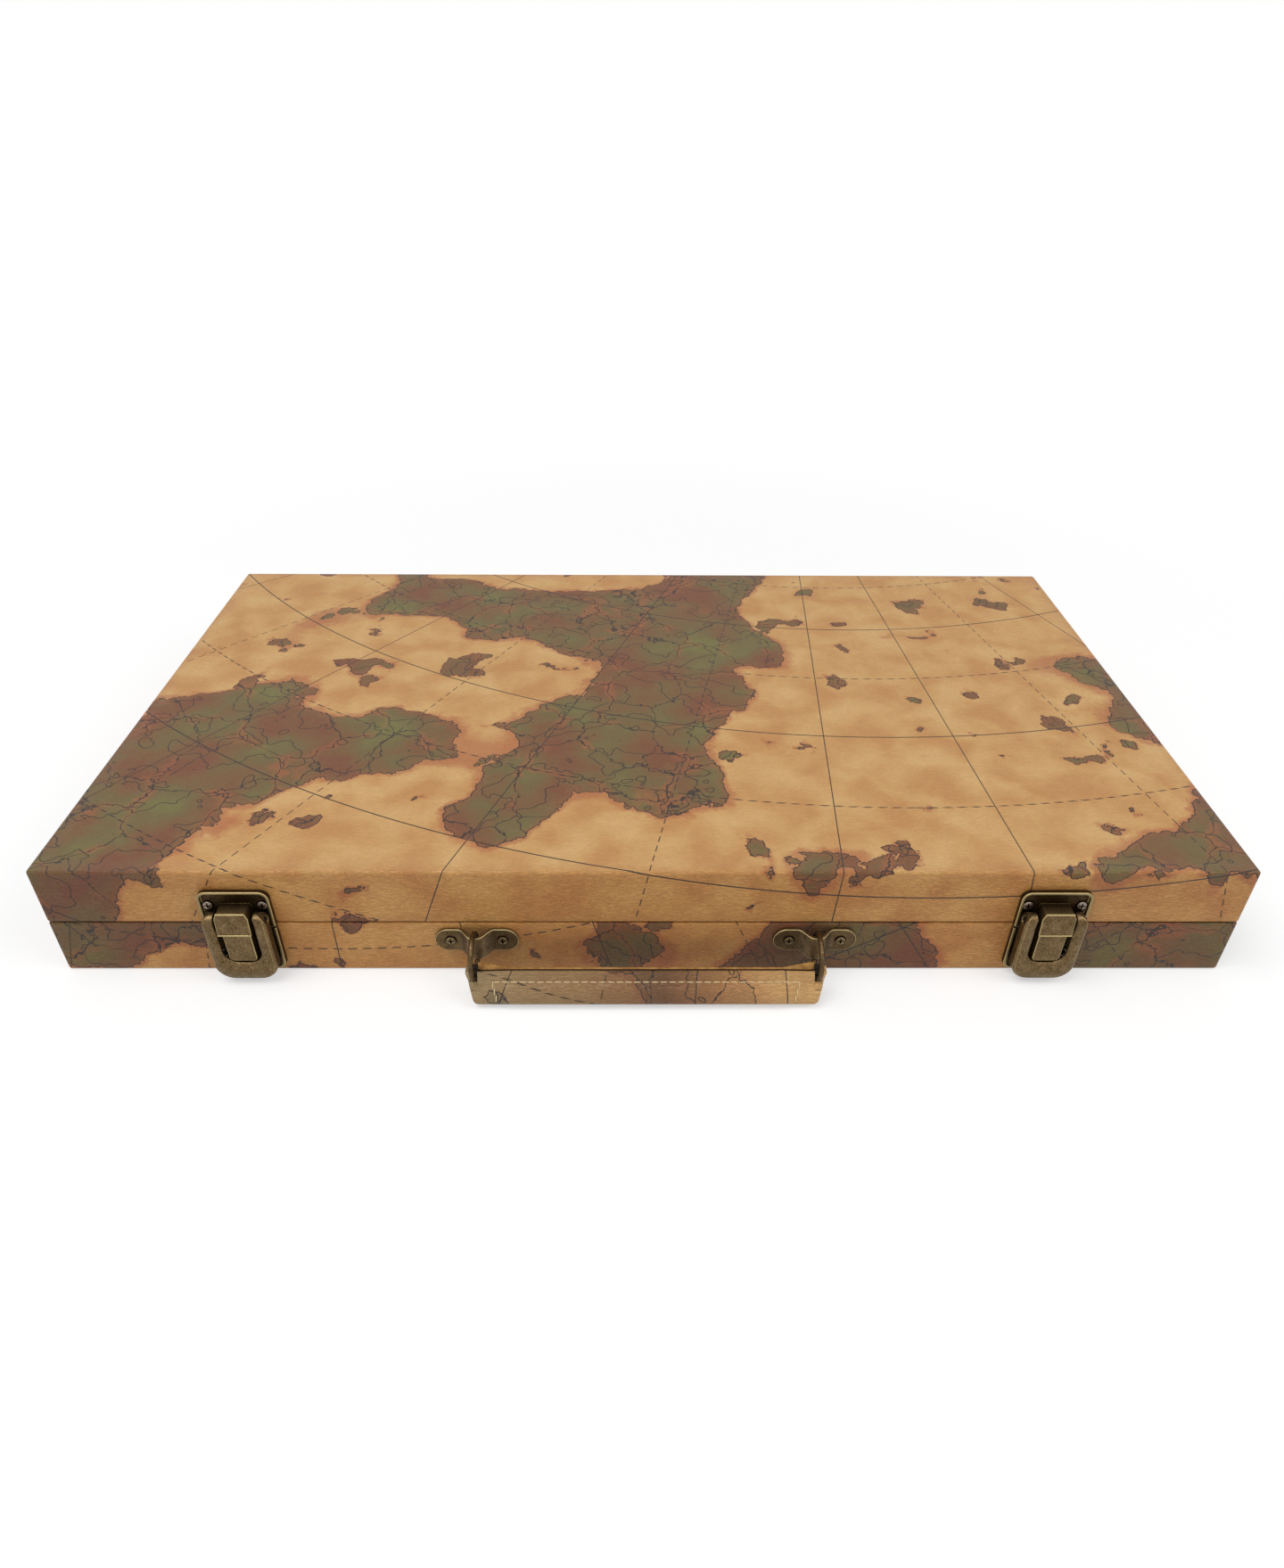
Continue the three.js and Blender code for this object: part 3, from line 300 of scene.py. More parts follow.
def wrapped_cover(name, outer_z, up):
    """One half's cover as a closed skin, with the flat sheet's own coordinates as its UV map."""
    shape = bmesh.new()
    print_layer = shape.loops.layers.uv.new("print")
    wall_layer = shape.verts.layers.float.new("wall")
    fold_layer = shape.verts.layers.float.new("fold")
    places = plan_places()
    rings = []
    travelled = []
    path = 0
    rows = cover_rows()
    for index, (inset, rise, wall, fold) in enumerate(rows):
        if index and rows[index - 1][0] <= edge_radius:
            path += math.dist(rows[index][:2], rows[index - 1][:2])
        travelled.append(path)
        ring = []
        for place in places:
            x, y = plan_point(place, inset)
            corner = shape.verts.new((x, y, outer_z + up * rise))
            corner[wall_layer] = wall
            corner[fold_layer] = fold
            ring.append(corner)
        rings.append(ring)
    for row in range(len(rings) - 1):
        for spot, place in enumerate(places):
            beside = (spot + 1) % len(places)
            corners = ((row, spot), (row, beside), (row + 1, beside), (row + 1, spot))
            face = shape.faces.new([rings[at][where] for at, where in corners])
            flat = travelled[row] == 0 and travelled[row + 1] == 0
            for loop, (at, where) in zip(face.loops, corners):
                if flat:
                    loop[print_layer].uv = loop.vert.co.xy
                else:
                    loop[print_layer].uv = unfolded(places[where], place[3], travelled[at])
    for cap in (rings[0], rings[-1]):
        face = shape.faces.new(cap)
        for loop in face.loops:
            loop[print_layer].uv = loop.vert.co.xy
    bmesh.ops.recalc_face_normals(shape, faces=shape.faces)
    mesh = bpy.data.meshes.new(name)
    shape.to_mesh(mesh)
    shape.free()
    work = bpy.data.objects.new(name, mesh)
    notches = hinge_notches(outer_z + up * half_height)
    cut = work.modifiers.new("hinge seats", "BOOLEAN")
    cut.operation = "DIFFERENCE"
    cut.solver = "EXACT"
    cut.object = notches
    cover = settled(work, name, notches)
    smooth(cover.data, 40)
    return cover


# The print is a made-up old chart: sandy paper, weathered green and brown fields with inked
# outlines and rusty borders, wandering lines and dots inside them, and long thin arcs and rays,
# some of them dashed.
cloud = 17 * mm
field_size = 92 * mm
ragged = 24 * mm
ragged_reach = 24 * mm
field_halo = (-0.019, -0.007)
islet_size = 21 * mm
islet_share = 0.35
islet_level = 0.67
islet_halo = (-0.009, -0.002)
parcel = 25 * mm
parcel_ragged = 8 * mm
parcel_reach = 8 * mm
stream = 36 * mm
tier_height = 0.13
dot_spacing = 15 * mm
dot_radius = 0.55 * mm
ink_width = 0.38 * mm
ink_step = 0.25 * mm
blush_width = 2.4 * mm
wrinkle_length = 3.0 * mm
wrinkle_width = 0.72 * mm
pebble = 0.7 * mm
pucker_length = 7 * mm
pucker_width = 1.3 * mm
arc_spacing = 43 * mm
arc_width = 0.52 * mm
ray_angle = math.radians(8)
ray_width = 0.38 * mm
dash = 2.4 * mm
tinted_half = 59 * mm
halo_strength = 0.62
blush_strength = 0.45
wash_strength = 0.5
ink_strength = 0.94
tint_strength = 0.75
pebble_share = 0.45
pucker_share = 2.0


def printed_leatherette(name, shift, level, hub, tones=None):
    """Leatherette of one print: shift picks another part of the design, level says how much of
    it is sandy paper, and hub is where its arcs and rays spring from. Tones, if any, are a wash
    over it from left to right."""
    finish, tree, shader = new_finish(name, specular_ior_level=0.42)
    sheet = add(tree, "UVMap", uv_map="print")
    spot = add(tree, "Mapping", {"Vector": sheet, "Location": (*shift, 0)})

    def fields(across, along):
        """How far a spot beside this one is inside a large and a small field, as noise heights."""
        near = add(tree, "VectorMath", {0: spot, 1: (across, along, 0)}, operation="ADD")
        raggedness = add(tree, "TexNoise",
                         {"Vector": near, "Scale": 1 / ragged, "Detail": 5.0, "Roughness": 0.64})
        centred = add(tree, "VectorMath", {0: (raggedness, "Color"), 1: (0.5, 0.5, 0.5)},
                      operation="SUBTRACT")
        coast = add(tree, "VectorMath", {0: centred, 1: (ragged_reach,) * 3, 2: near},
                    operation="MULTIPLY_ADD")
        broad = add(tree, "TexNoise",
                    {"Vector": coast, "Scale": 1 / field_size, "Detail": 1.5, "Roughness": 0.45})
        mainland = add(tree, "Math", {0: broad, 1: level}, operation="SUBTRACT")
        small = add(tree, "TexNoise", {"Vector": coast, "Scale": 1 / islet_size, "Detail": 1.0})
        islets = add(tree, "Math", {0: small, 1: islet_share, 2: -islet_share * islet_level},
                     operation="MULTIPLY_ADD")
        return mainland, islets

    def inside(across, along):
        """How far a spot beside this one is inside a field of either kind."""
        mainland, islets = fields(across, along)
        return add(tree, "Math", {0: mainland, 1: islets}, operation="MAXIMUM")

    def height(across, along):
        """A made-up height beside this spot, for the wandering lines that follow its levels."""
        near = add(tree, "VectorMath", {0: spot, 1: (across, along, 0)}, operation="ADD")
        hills = add(tree, "TexNoise",
                    {"Vector": near, "Scale": 1 / stream, "Detail": 3.5, "Roughness": 0.58})
        tier = add(tree, "Math", {0: hills, 1: tier_height}, operation="PINGPONG")
        return add(tree, "Math", {0: tier, 1: tier_height / 2}, operation="SUBTRACT")

    def levels(measure):
        """How many ink steps this spot is from where a measure passes zero, and a line there."""
        here = measure(0, 0)
        rise_x = add(tree, "Math", {0: measure(ink_step, 0), 1: here}, operation="SUBTRACT")
        rise_y = add(tree, "Math", {0: measure(0, ink_step), 1: here}, operation="SUBTRACT")
        slope = add(tree, "CombineXYZ", {"X": rise_x, "Y": rise_y})
        steepness = add(tree, "VectorMath", {0: slope}, operation="LENGTH")
        steps = add(tree, "Math", {0: here, 1: (steepness, "Value")}, operation="DIVIDE")
        return steps, add(tree, "Math", {0: steps, 1: 0.0, 2: ink_width / 2 / ink_step},
                          operation="COMPARE")

    inland, rim = levels(inside)
    _, stream_line = levels(height)
    field = add(tree, "Math", {0: inland, 1: 0.0}, operation="GREATER_THAN")
    mainland, islets = fields(0, 0)
    round_fields = add(tree, "MapRange",
                       {"Value": mainland, "From Min": field_halo[0], "From Max": field_halo[1]})
    round_islets = add(tree, "MapRange",
                       {"Value": islets, "From Min": islet_halo[0], "From Max": islet_halo[1]})
    border = add(tree, "Math", {0: round_fields, 1: round_islets}, operation="MAXIMUM")
    inner = add(tree, "MapRange", {"Value": inland, "From Min": blush_width / ink_step, "From Max": 0.0})

    # Sandy paper and weathered fields, each mottled
    clouds = add(tree, "TexNoise", {"Vector": spot, "Scale": 1 / cloud, "Detail": 2.0, "Roughness": 0.45,
                 "Distortion": 0.3})
    paper = add(tree, "ValToRGB", {"Fac": clouds},
                stops=[(0.34, "#B3814A"), (0.5, "#BC8F56"), (0.66, "#C39B63")])
    worn = add(tree, "TexNoise",
               {"Vector": spot, "Scale": 1 / (1.7 * cloud), "Detail": 3.0, "Roughness": 0.55})
    land = add(tree, "ValToRGB", {"Fac": worn},
               stops=[(0.36, "#6B3D21"), (0.47, "#6A4B26"), (0.56, "#62532B"), (0.68, "#66602F")])
    rust = add(tree, "Mix", {"Factor": worn, "A": "#A9562F", "B": "#8F5431"}, data_type="RGBA")
    halo = add(tree, "Math", {0: border, 1: halo_strength}, operation="MULTIPLY")
    paper = add(tree, "Mix", {"Factor": halo, "A": paper, "B": rust}, data_type="RGBA")
    blush = add(tree, "Math", {0: inner, 1: blush_strength}, operation="MULTIPLY")
    land = add(tree, "Mix", {"Factor": blush, "A": land, "B": "#8A4F2E"}, data_type="RGBA")

    # Wandering lines part the fields, with a rusty wash along some of them, and dots mark them
    wander = add(tree, "TexNoise",
                 {"Vector": spot, "Scale": 1 / parcel_ragged, "Detail": 3.0, "Roughness": 0.6})
    wander = add(tree, "VectorMath", {0: (wander, "Color"), 1: (parcel_reach,) * 3, 2: spot},
                 operation="MULTIPLY_ADD")
    edges = add(tree, "TexVoronoi", {"Vector": wander, "Scale": 1 / parcel, "Randomness": 1.0},
                feature="DISTANCE_TO_EDGE")
    parcel_line = add(tree, "Math", {0: edges, 1: ink_width / parcel / 2}, operation="LESS_THAN")
    wash = add(tree, "MapRange", {"Value": edges, "From Min": 0.09, "From Max": 0.02})
    patchy = add(tree, "MapRange", {"Value": clouds, "From Min": 0.5, "From Max": 0.6})
    wash = add(tree, "Math", {0: wash, 1: patchy}, operation="MULTIPLY")
    wash = add(tree, "Math", {0: wash, 1: wash_strength}, operation="MULTIPLY")
    land = add(tree, "Mix", {"Factor": wash, "A": land, "B": "#97552F"}, data_type="RGBA")
    design = add(tree, "Mix", {"Factor": field, "A": paper, "B": land}, data_type="RGBA")
    towns = add(tree, "TexVoronoi", {"Vector": spot, "Scale": 1 / dot_spacing, "Randomness": 1.0})
    dots = add(tree, "Math", {0: (towns, "Distance"), 1: dot_radius / dot_spacing}, operation="LESS_THAN")
    marks = add(tree, "Math", {0: parcel_line, 1: dots}, operation="MAXIMUM")
    marks = add(tree, "Math", {0: marks, 1: stream_line}, operation="MAXIMUM")
    marks = add(tree, "Math", {0: marks, 1: field}, operation="MULTIPLY")
    ink = add(tree, "Math", {0: rim, 1: marks}, operation="MAXIMUM")

    # Arcs round the hub with rays between them, every second one dashed
    from_hub = add(tree, "VectorMath", {0: sheet, 1: (*hub, 0)}, operation="SUBTRACT")
    radius = add(tree, "VectorMath", {0: from_hub}, operation="LENGTH")
    away = add(tree, "SeparateXYZ", {"Vector": from_hub})
    turn = add(tree, "Math", {0: (away, "X"), 1: (away, "Y")}, operation="ARCTAN2")
    run = add(tree, "Math", {0: turn, 1: (radius, "Value")}, operation="MULTIPLY")
    for spacing, across, along, per_radius, width in (
            (arc_spacing, (radius, "Value"), run, False, arc_width),
            (ray_angle, turn, (radius, "Value"), True, ray_width)):
        rungs = add(tree, "Math", {0: across, 1: spacing / 2}, operation="PINGPONG")
        if per_radius:
            rungs = add(tree, "Math", {0: rungs, 1: (radius, "Value")}, operation="MULTIPLY")
        line = add(tree, "Math", {0: rungs, 1: width / 2}, operation="LESS_THAN")
        which = add(tree, "Math", {0: across, 1: spacing}, operation="PINGPONG")
        second = add(tree, "Math", {0: which, 1: spacing / 2}, operation="LESS_THAN")
        beats = add(tree, "Math", {0: along, 1: dash}, operation="PINGPONG")
        beats = add(tree, "Math", {0: beats, 1: dash * 0.6}, operation="LESS_THAN")
        drawn = add(tree, "Math", {0: second, 1: beats}, operation="MAXIMUM")
        line = add(tree, "Math", {0: line, 1: drawn}, operation="MULTIPLY")
        ink = add(tree, "Math", {0: ink, 1: line}, operation="MAXIMUM")
    ink = add(tree, "Math", {0: ink, 1: ink_strength}, operation="MULTIPLY")
    design = add(tree, "Mix", {"Factor": ink, "A": design, "B": "#1B110B"}, data_type="RGBA")
    if tones:
        along = add(tree, "SeparateXYZ", {"Vector": sheet})
        share = add(tree, "MapRange",
                    {"Value": (along, "X"), "From Min": -tinted_half, "From Max": tinted_half})
        wash = add(tree, "ValToRGB", {"Fac": share}, stops=tones)
        under = add(tree, "Math", {0: ink, 1: -tint_strength, 2: tint_strength}, operation="MULTIPLY_ADD")
        design = add(tree, "Mix", {"Factor": under, "A": design, "B": wash}, data_type="RGBA")

    # Embossed wrinkles, pebble and puckers, with painted shade in the wrinkles' grooves
    wall = add(tree, "Attribute", attribute_name="wall")
    fold = add(tree, "Attribute", attribute_name="fold")
    lying = add(tree, "Mapping", {"Vector": sheet, "Scale": (1 / wrinkle_length, 1 / wrinkle_width, 1)})
    creases = add(tree, "TexNoise",
                  {"Vector": lying, "Scale": 1.0, "Detail": 2.0, "Roughness": 0.5, "Distortion": 0.8})
    centred = add(tree, "Math", {0: creases, 1: 0.5}, operation="SUBTRACT")
    ridged = add(tree, "Math", {0: centred}, operation="ABSOLUTE")
    wrinkles = add(tree, "MapRange", {"Value": ridged, "From Min": 0.0, "From Max": 0.11})
    pebbles = add(tree, "TexNoise", {"Vector": sheet, "Scale": 1 / pebble, "Detail": 2.0})
    strength = add(tree, "MapRange", {"Value": (wall, "Fac"), "To Min": 0.45, "To Max": 1.0})
    grain = add(tree, "Math", {0: wrinkles, 1: strength}, operation="MULTIPLY")
    grain = add(tree, "Math", {0: pebbles, 1: pebble_share, 2: grain}, operation="MULTIPLY_ADD")
    drawn = add(tree, "Mapping", {"Vector": sheet, "Scale": (1 / pucker_width, 1 / pucker_length, 1)})
    puckers = add(tree, "TexNoise", {"Vector": drawn, "Scale": 1.0, "Detail": 1.5})
    puckers = add(tree, "Math", {0: puckers, 1: (fold, "Fac")}, operation="MULTIPLY")
    grain = add(tree, "Math", {0: puckers, 1: pucker_share, 2: grain}, operation="MULTIPLY_ADD")
    relief = add(tree, "Bump", {"Height": grain, "Strength": 0.7, "Distance": 0.2 * mm})
    feed(tree, shader, "Normal", relief)
    # The wrinkles' grooves are painted darker, as shade, most on the walls
    crease_shade = add(tree, "MapRange",
               {"Value": wrinkles, "From Min": 0.0, "From Max": 0.7, "To Min": 0.3, "To Max": 0.0})
    crease_shade = add(tree, "Math", {0: crease_shade, 1: strength}, operation="MULTIPLY")
    design = add(tree, "Mix", {"Factor": crease_shade, "A": design, "B": "#55301A"}, data_type="RGBA")
    if not tones:
        # The walls, and in part the edges and turn-ins, are painted a little browner than the flat faces,
        # as painted shade
        design = add(tree, "Mix", {"Factor": (wall, "Fac"), "A": design, "B": "#F7E5C4"},
                     data_type="RGBA", blend_type="MULTIPLY")
    feed(tree, shader, "Base Color", design)
    polish = add(tree, "MapRange",
                 {"Value": grain, "From Min": 0.2, "From Max": 1.0, "To Min": 0.62, "To Max": 0.44})
    feed(tree, shader, "Roughness", polish)
    return finish


for half, outer_z, up, shift, level, hub in (("tray", tray_low.z, 1, (0.46, 0.71), 0.5, (-0.1, -0.42)),
                                             ("lid", lid_high.z, -1, (1.32, 0.18), 0.545, (0.09, 0.31))):
    cover = wrapped_cover(f"{half}_cover_leatherette", outer_z, up)
    cover.data.materials.append(printed_leatherette(f"printed_leatherette_{half}", shift, level, hub))
    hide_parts(f"{half}_cover")
    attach(cover, half)


# Playing board
# A hide-covered board in each half with twelve tapering points of inlaid leather, in two tones
# by turns. The hide is matt and finely pebbled; the trough beside it is lined with brown felt.
def pebbled_hide(name, dark, light):
    """Chrome-tanned hide, pressed with a fine pebble, in a dark and a light tone of one colour."""
    finish, tree, shader = new_finish(name, specular_ior_level=0.4)
    place = add(tree, "TexCoord")
    cells = add(tree, "TexVoronoi", {"Vector": (place, "Object"), "Scale": 1 / (0.9 * mm)})
    cloudy = add(tree, "TexNoise", {"Vector": (place, "Object"), "Scale": 1 / (11 * mm), "Detail": 4.0})
    tone = add(tree, "ValToRGB", {"Fac": cloudy}, stops=[(0.35, dark), (0.68, light)])
    feed(tree, shader, "Base Color", tone)
    sheen = add(tree, "MapRange", {"Value": (cells, "Distance"), "To Min": 0.45, "To Max": 0.65})
    feed(tree, shader, "Roughness", sheen)
    relief = add(tree, "Bump", {"Height": (cells, "Distance"), "Strength": 0.4, "Distance": 0.15 * mm},
                 invert=True)
    feed(tree, shader, "Normal", relief)
    return finish


brown_hide = pebbled_hide("pebbled_brown_hide", "#5F3A20", "#7B4F2E")
dark_hide = pebbled_hide("inlaid_dark_hide", "#2E1A10", "#43281A")
cream_hide = pebbled_hide("inlaid_cream_hide", "#C8AE7E", "#DCC79B")
points_per_side = 6
point_length = 96 * mm
point_margin = 3 * mm
point_gap = 0.9 * mm
inlay_rise = 0.5 * mm
inlay_sunk = 0.1 * mm


def repeated(name, piece, places, turns, finish, scale=1.0):
    """Copies a small shape to many places by Geometry Nodes, as one plain mesh, and turns each."""
    host_mesh = bpy.data.meshes.new(name)
    host_mesh.from_pydata(places, [], [])
    host_mesh.attributes.new("turn", "FLOAT_VECTOR", "POINT").data.foreach_set(
        "vector", [angle for turn in turns for angle in turn])
    host = bpy.data.objects.new(name, host_mesh)
    group = bpy.data.node_groups.new(name, "GeometryNodeTree")
    group.interface.new_socket("Geometry", in_out="INPUT", socket_type="NodeSocketGeometry")
    piece_input = group.interface.new_socket("Shape", in_out="INPUT", socket_type="NodeSocketObject")
    size_input = group.interface.new_socket("Size", in_out="INPUT", socket_type="NodeSocketFloat")
    finish_input = group.interface.new_socket("Finish", in_out="INPUT", socket_type="NodeSocketMaterial")
    group.interface.new_socket("Geometry", in_out="OUTPUT", socket_type="NodeSocketGeometry")
    given = add(group, "NodeGroupInput")
    shape = add(group, "GeometryNodeObjectInfo", {"Object": (given, "Shape")})
    turning = add(group, "GeometryNodeInputNamedAttribute", {"Name": "turn"}, data_type="FLOAT_VECTOR")
    copies = add(group, "GeometryNodeInstanceOnPoints", {"Points": (given, "Geometry"),
                 "Instance": (shape, "Geometry"), "Rotation": (turning, "Attribute"),
                 "Scale": (given, "Size")})
    real = add(group, "GeometryNodeRealizeInstances", {"Geometry": copies})
    painted = add(group, "GeometryNodeSetMaterial", {"Geometry": real, "Material": (given, "Finish")})
    add(group, "NodeGroupOutput", {"Geometry": painted})
    spread = host.modifiers.new("places", "NODES")
    spread.node_group = group
    spread[piece_input.identifier] = piece
    spread[size_input.identifier] = scale
    spread[finish_input.identifier] = finish
    result = settled(host, name, piece)
    result.data.materials.clear()
    result.data.materials.append(finish)
    return result


def from_bmesh(shape, name):
    """An unlinked object for a shape, which is freed."""
    bmesh.ops.recalc_face_normals(shape, faces=shape.faces)
    mesh = bpy.data.meshes.new(name)
    shape.to_mesh(mesh)
    shape.free()
    return bpy.data.objects.new(name, mesh)


def prism(outline, low, high, bevel, segments=2):
    """A flat shape in plan with its upper edge rounded over."""
    shape = bmesh.new()
    bottom = [shape.verts.new((x, y, low)) for x, y in outline]
    top = [shape.verts.new((x, y, high)) for x, y in outline]
    shape.faces.new(bottom[::-1])
    shape.faces.new(top)
    count = len(outline)
    for spot in range(count):
        beside = (spot + 1) % count
        shape.faces.new((bottom[spot], bottom[beside], top[beside], top[spot]))
    upper = [edge for edge in shape.edges if all(corner in top for corner in edge.verts)]
    bmesh.ops.bevel(shape, geom=upper, offset=bevel, segments=segments, profile=0.5, affect="EDGES")
    return shape


def rounded_block(low, high, rounding, segments):
    """A block between two corners, with its edges rounded."""
    shape = bmesh.new()
    place = Matrix.Translation((low + high) / 2)
    bmesh.ops.create_cube(shape, size=1, matrix=place @ Matrix.Diagonal((*(high - low), 1)))
    bmesh.ops.bevel(shape, geom=shape.edges[:], offset=rounding, segments=segments, profile=0.5,
                    affect="EDGES")
    return shape


for half, up in (("tray", 1), ("lid", -1)):
    low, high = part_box(f"{half}_board")
    divider_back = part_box(f"{half}_divider")[1].y
    slab = (high.z - low.z) - inlay_rise
    face = low.z + slab if up > 0 else high.z - slab
    back = low.z if up > 0 else high.z
    board = rounded_block(Vector((low.x, low.y, min(face, back))), Vector((high.x, high.y, max(face, back))),
                          0.3 * mm, 2)
    ground = settled(from_bmesh(board, f"{half}_board_hide"), f"{half}_board_hide")
    ground.data.materials.append(brown_hide)
    smooth(ground.data)
    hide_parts(f"{half}_board")
    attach(ground, half)
    pitch = (high.y - divider_back) / points_per_side
    breadth = pitch - point_gap
    for tone, finish in (("dark", dark_hide), ("cream", cream_hide)):
        outline = [(0, -breadth / 2), (point_length, 0), (0, breadth / 2)]
        shape = prism(outline, -inlay_sunk, inlay_rise, 0.2 * mm)
        point = from_bmesh(shape, "point")
        places = []
        turns = []
        for index in range(points_per_side):
            y = divider_back + (index + 0.5) * pitch
            for side in (-1, 1):
                if ((index + (side > 0)) % 2 == 0) == (tone == "dark"):
                    places.append((side * (high.x - point_margin), y, face))
                    turns.append((0 if up > 0 else math.pi, 0, math.pi if side > 0 else 0))
        inlays = repeated(f"{half}_points_{tone}", point, places, turns, finish)
        smooth(inlays.data)
        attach(inlays, half)

# Wool felt: quite dull, with a soft nap that catches the light at its edges
felt = mottled("brown_felt", 0.8 * mm, 6.0, [(0.3, "#42291A"), (0.7, "#65432B")], (0.9, 1.0),
               relief=(0.7, 0.25 * mm), sheen_weight=0.5, sheen_roughness=0.5, specular_ior_level=0.2)
for half in ("tray", "lid"):
    dress(f"{half}_trough_lining", felt)


# Hinges
# Two butt hinges of brass sheet, let into the rims and rolled round a steel pin. The brass is
# browned in a bath and then rubbed: its broken edges are painted paler than its faces, as wear
# and as painted highlight, and near the wall it is painted darker, as browning and painted shade.
brass, tree, shader = new_finish("antiqued_brass", metallic=1.0)
place = add(tree, "TexCoord")
tarnish = add(tree, "TexNoise", {"Vector": (place, "Object"), "Scale": 1 / (2.4 * mm), "Detail": 3.0})
speckle = add(tree, "TexNoise",
              {"Vector": (place, "Object"), "Scale": 1 / (0.45 * mm), "Detail": 3.0, "Roughness": 0.6})
mixed = add(tree, "Math", {0: tarnish, 1: 0.45, 2: speckle}, operation="MULTIPLY_ADD")
worn = add(tree, "ValToRGB", {"Fac": mixed},
           stops=[(0.5, "#4E3D26"), (0.68, "#675337"), (0.84, "#796548"), (0.95, "#8B754E")])
# The dark tone near the wall is browning and painted shade
browned_and_shaded = add(tree, "ValToRGB", {"Fac": mixed}, stops=[(0.55, "#221710"), (0.85, "#4A3922")])
raised = add(tree, "Attribute", attribute_name="raised")
tone = add(tree, "Mix", {"Factor": (raised, "Fac"), "A": browned_and_shaded, "B": worn}, data_type="RGBA")
# Pale edges are wear and painted highlight
rubbed_and_highlit = add(tree, "Attribute", attribute_name="rubbed_and_highlit")
wear_and_highlight = add(tree, "Math", {0: (rubbed_and_highlit, "Fac"), 1: 0.8}, operation="MULTIPLY")
tone = add(tree, "Mix", {"Factor": wear_and_highlight, "A": tone, "B": "#BCA878"}, data_type="RGBA")
feed(tree, shader, "Base Color", tone)
matt = add(tree, "MapRange",
           {"Value": mixed, "From Min": 0.5, "From Max": 0.95, "To Min": 0.55, "To Max": 0.36})
feed(tree, shader, "Roughness", matt)
relief = add(tree, "Bump", {"Height": mixed, "Strength": 0.3, "Distance": 0.05 * mm})
feed(tree, shader, "Normal", relief)

# Drawn steel is a plain grey with a soft shine; blackened steel is dark and nearly matt
steel = mottled("drawn_steel", 0.6 * mm, 3.0, [(0.3, "#7C7A76"), (0.7, "#A3A19C")], (0.3, 0.45), metallic=1.0)
blackened_steel = mottled("blackened_steel", 1.1 * mm, 3.0, [(0.3, "#1E1915"), (0.7, "#3B332B")],
                          (0.45, 0.65), metallic=1.0)

# How far brass stands proud of the wall: it is painted dark up to the first height, as browning
# and painted shade, and worn from the second on, and the latch plates' raised lip lies in the
# span, its front painted half pale as wear and painted highlight
browned_and_shaded_below = 1.3 * mm
worn_above = 4.4 * mm
lip_face = (1.8 * mm, 2.6 * mm)
crown_grid = 0.55 * mm


def from_segment(point, start, stop):
    """How far a point is from the line between two others."""
    along = stop - start
    share = (point - start).dot(along) / max(along.length_squared, 1e-18)
    return (point - start - along * min(max(share, 0), 1)).length


def crown_front(shape, rise, reach):
    """Cuts a shape into a fine grid and lifts its flat front by how far each point is from the rim."""
    for axis in (0, 2):
        across = Vector((1, 0, 0)) if axis == 0 else Vector((0, 0, 1))
        start = min(corner.co[axis] for corner in shape.verts)
        stop = max(corner.co[axis] for corner in shape.verts)
        for step in range(1, int((stop - start) / crown_grid) + 1):
            bmesh.ops.bisect_plane(shape, geom=shape.verts[:] + shape.edges[:] + shape.faces[:],
                                   dist=0.01 * mm, plane_co=across * (start + step * crown_grid),
                                   plane_no=across)
    shape.normal_update()
    front_y = min(corner.co.y for corner in shape.verts)
    flat = {face for face in shape.faces
            if face.normal.y < -0.99 and abs(face.calc_center_median().y - front_y) < 0.02 * mm}
    rim = [[corner.co.copy() for corner in edge.verts] for edge in shape.edges
           if len([face for face in edge.link_faces if face in flat]) == 1]
    lifts = {}
    for corner in shape.verts:
        if corner.link_faces and all(face in flat for face in corner.link_faces):
            gap = min(from_segment(corner.co, *ends) for ends in rim)
            lifts[corner] = rise * math.sin(math.pi / 2 * min(gap / reach, 1))
    for corner, lift in lifts.items():
        corner.co.y -= lift
    shape.normal_update()


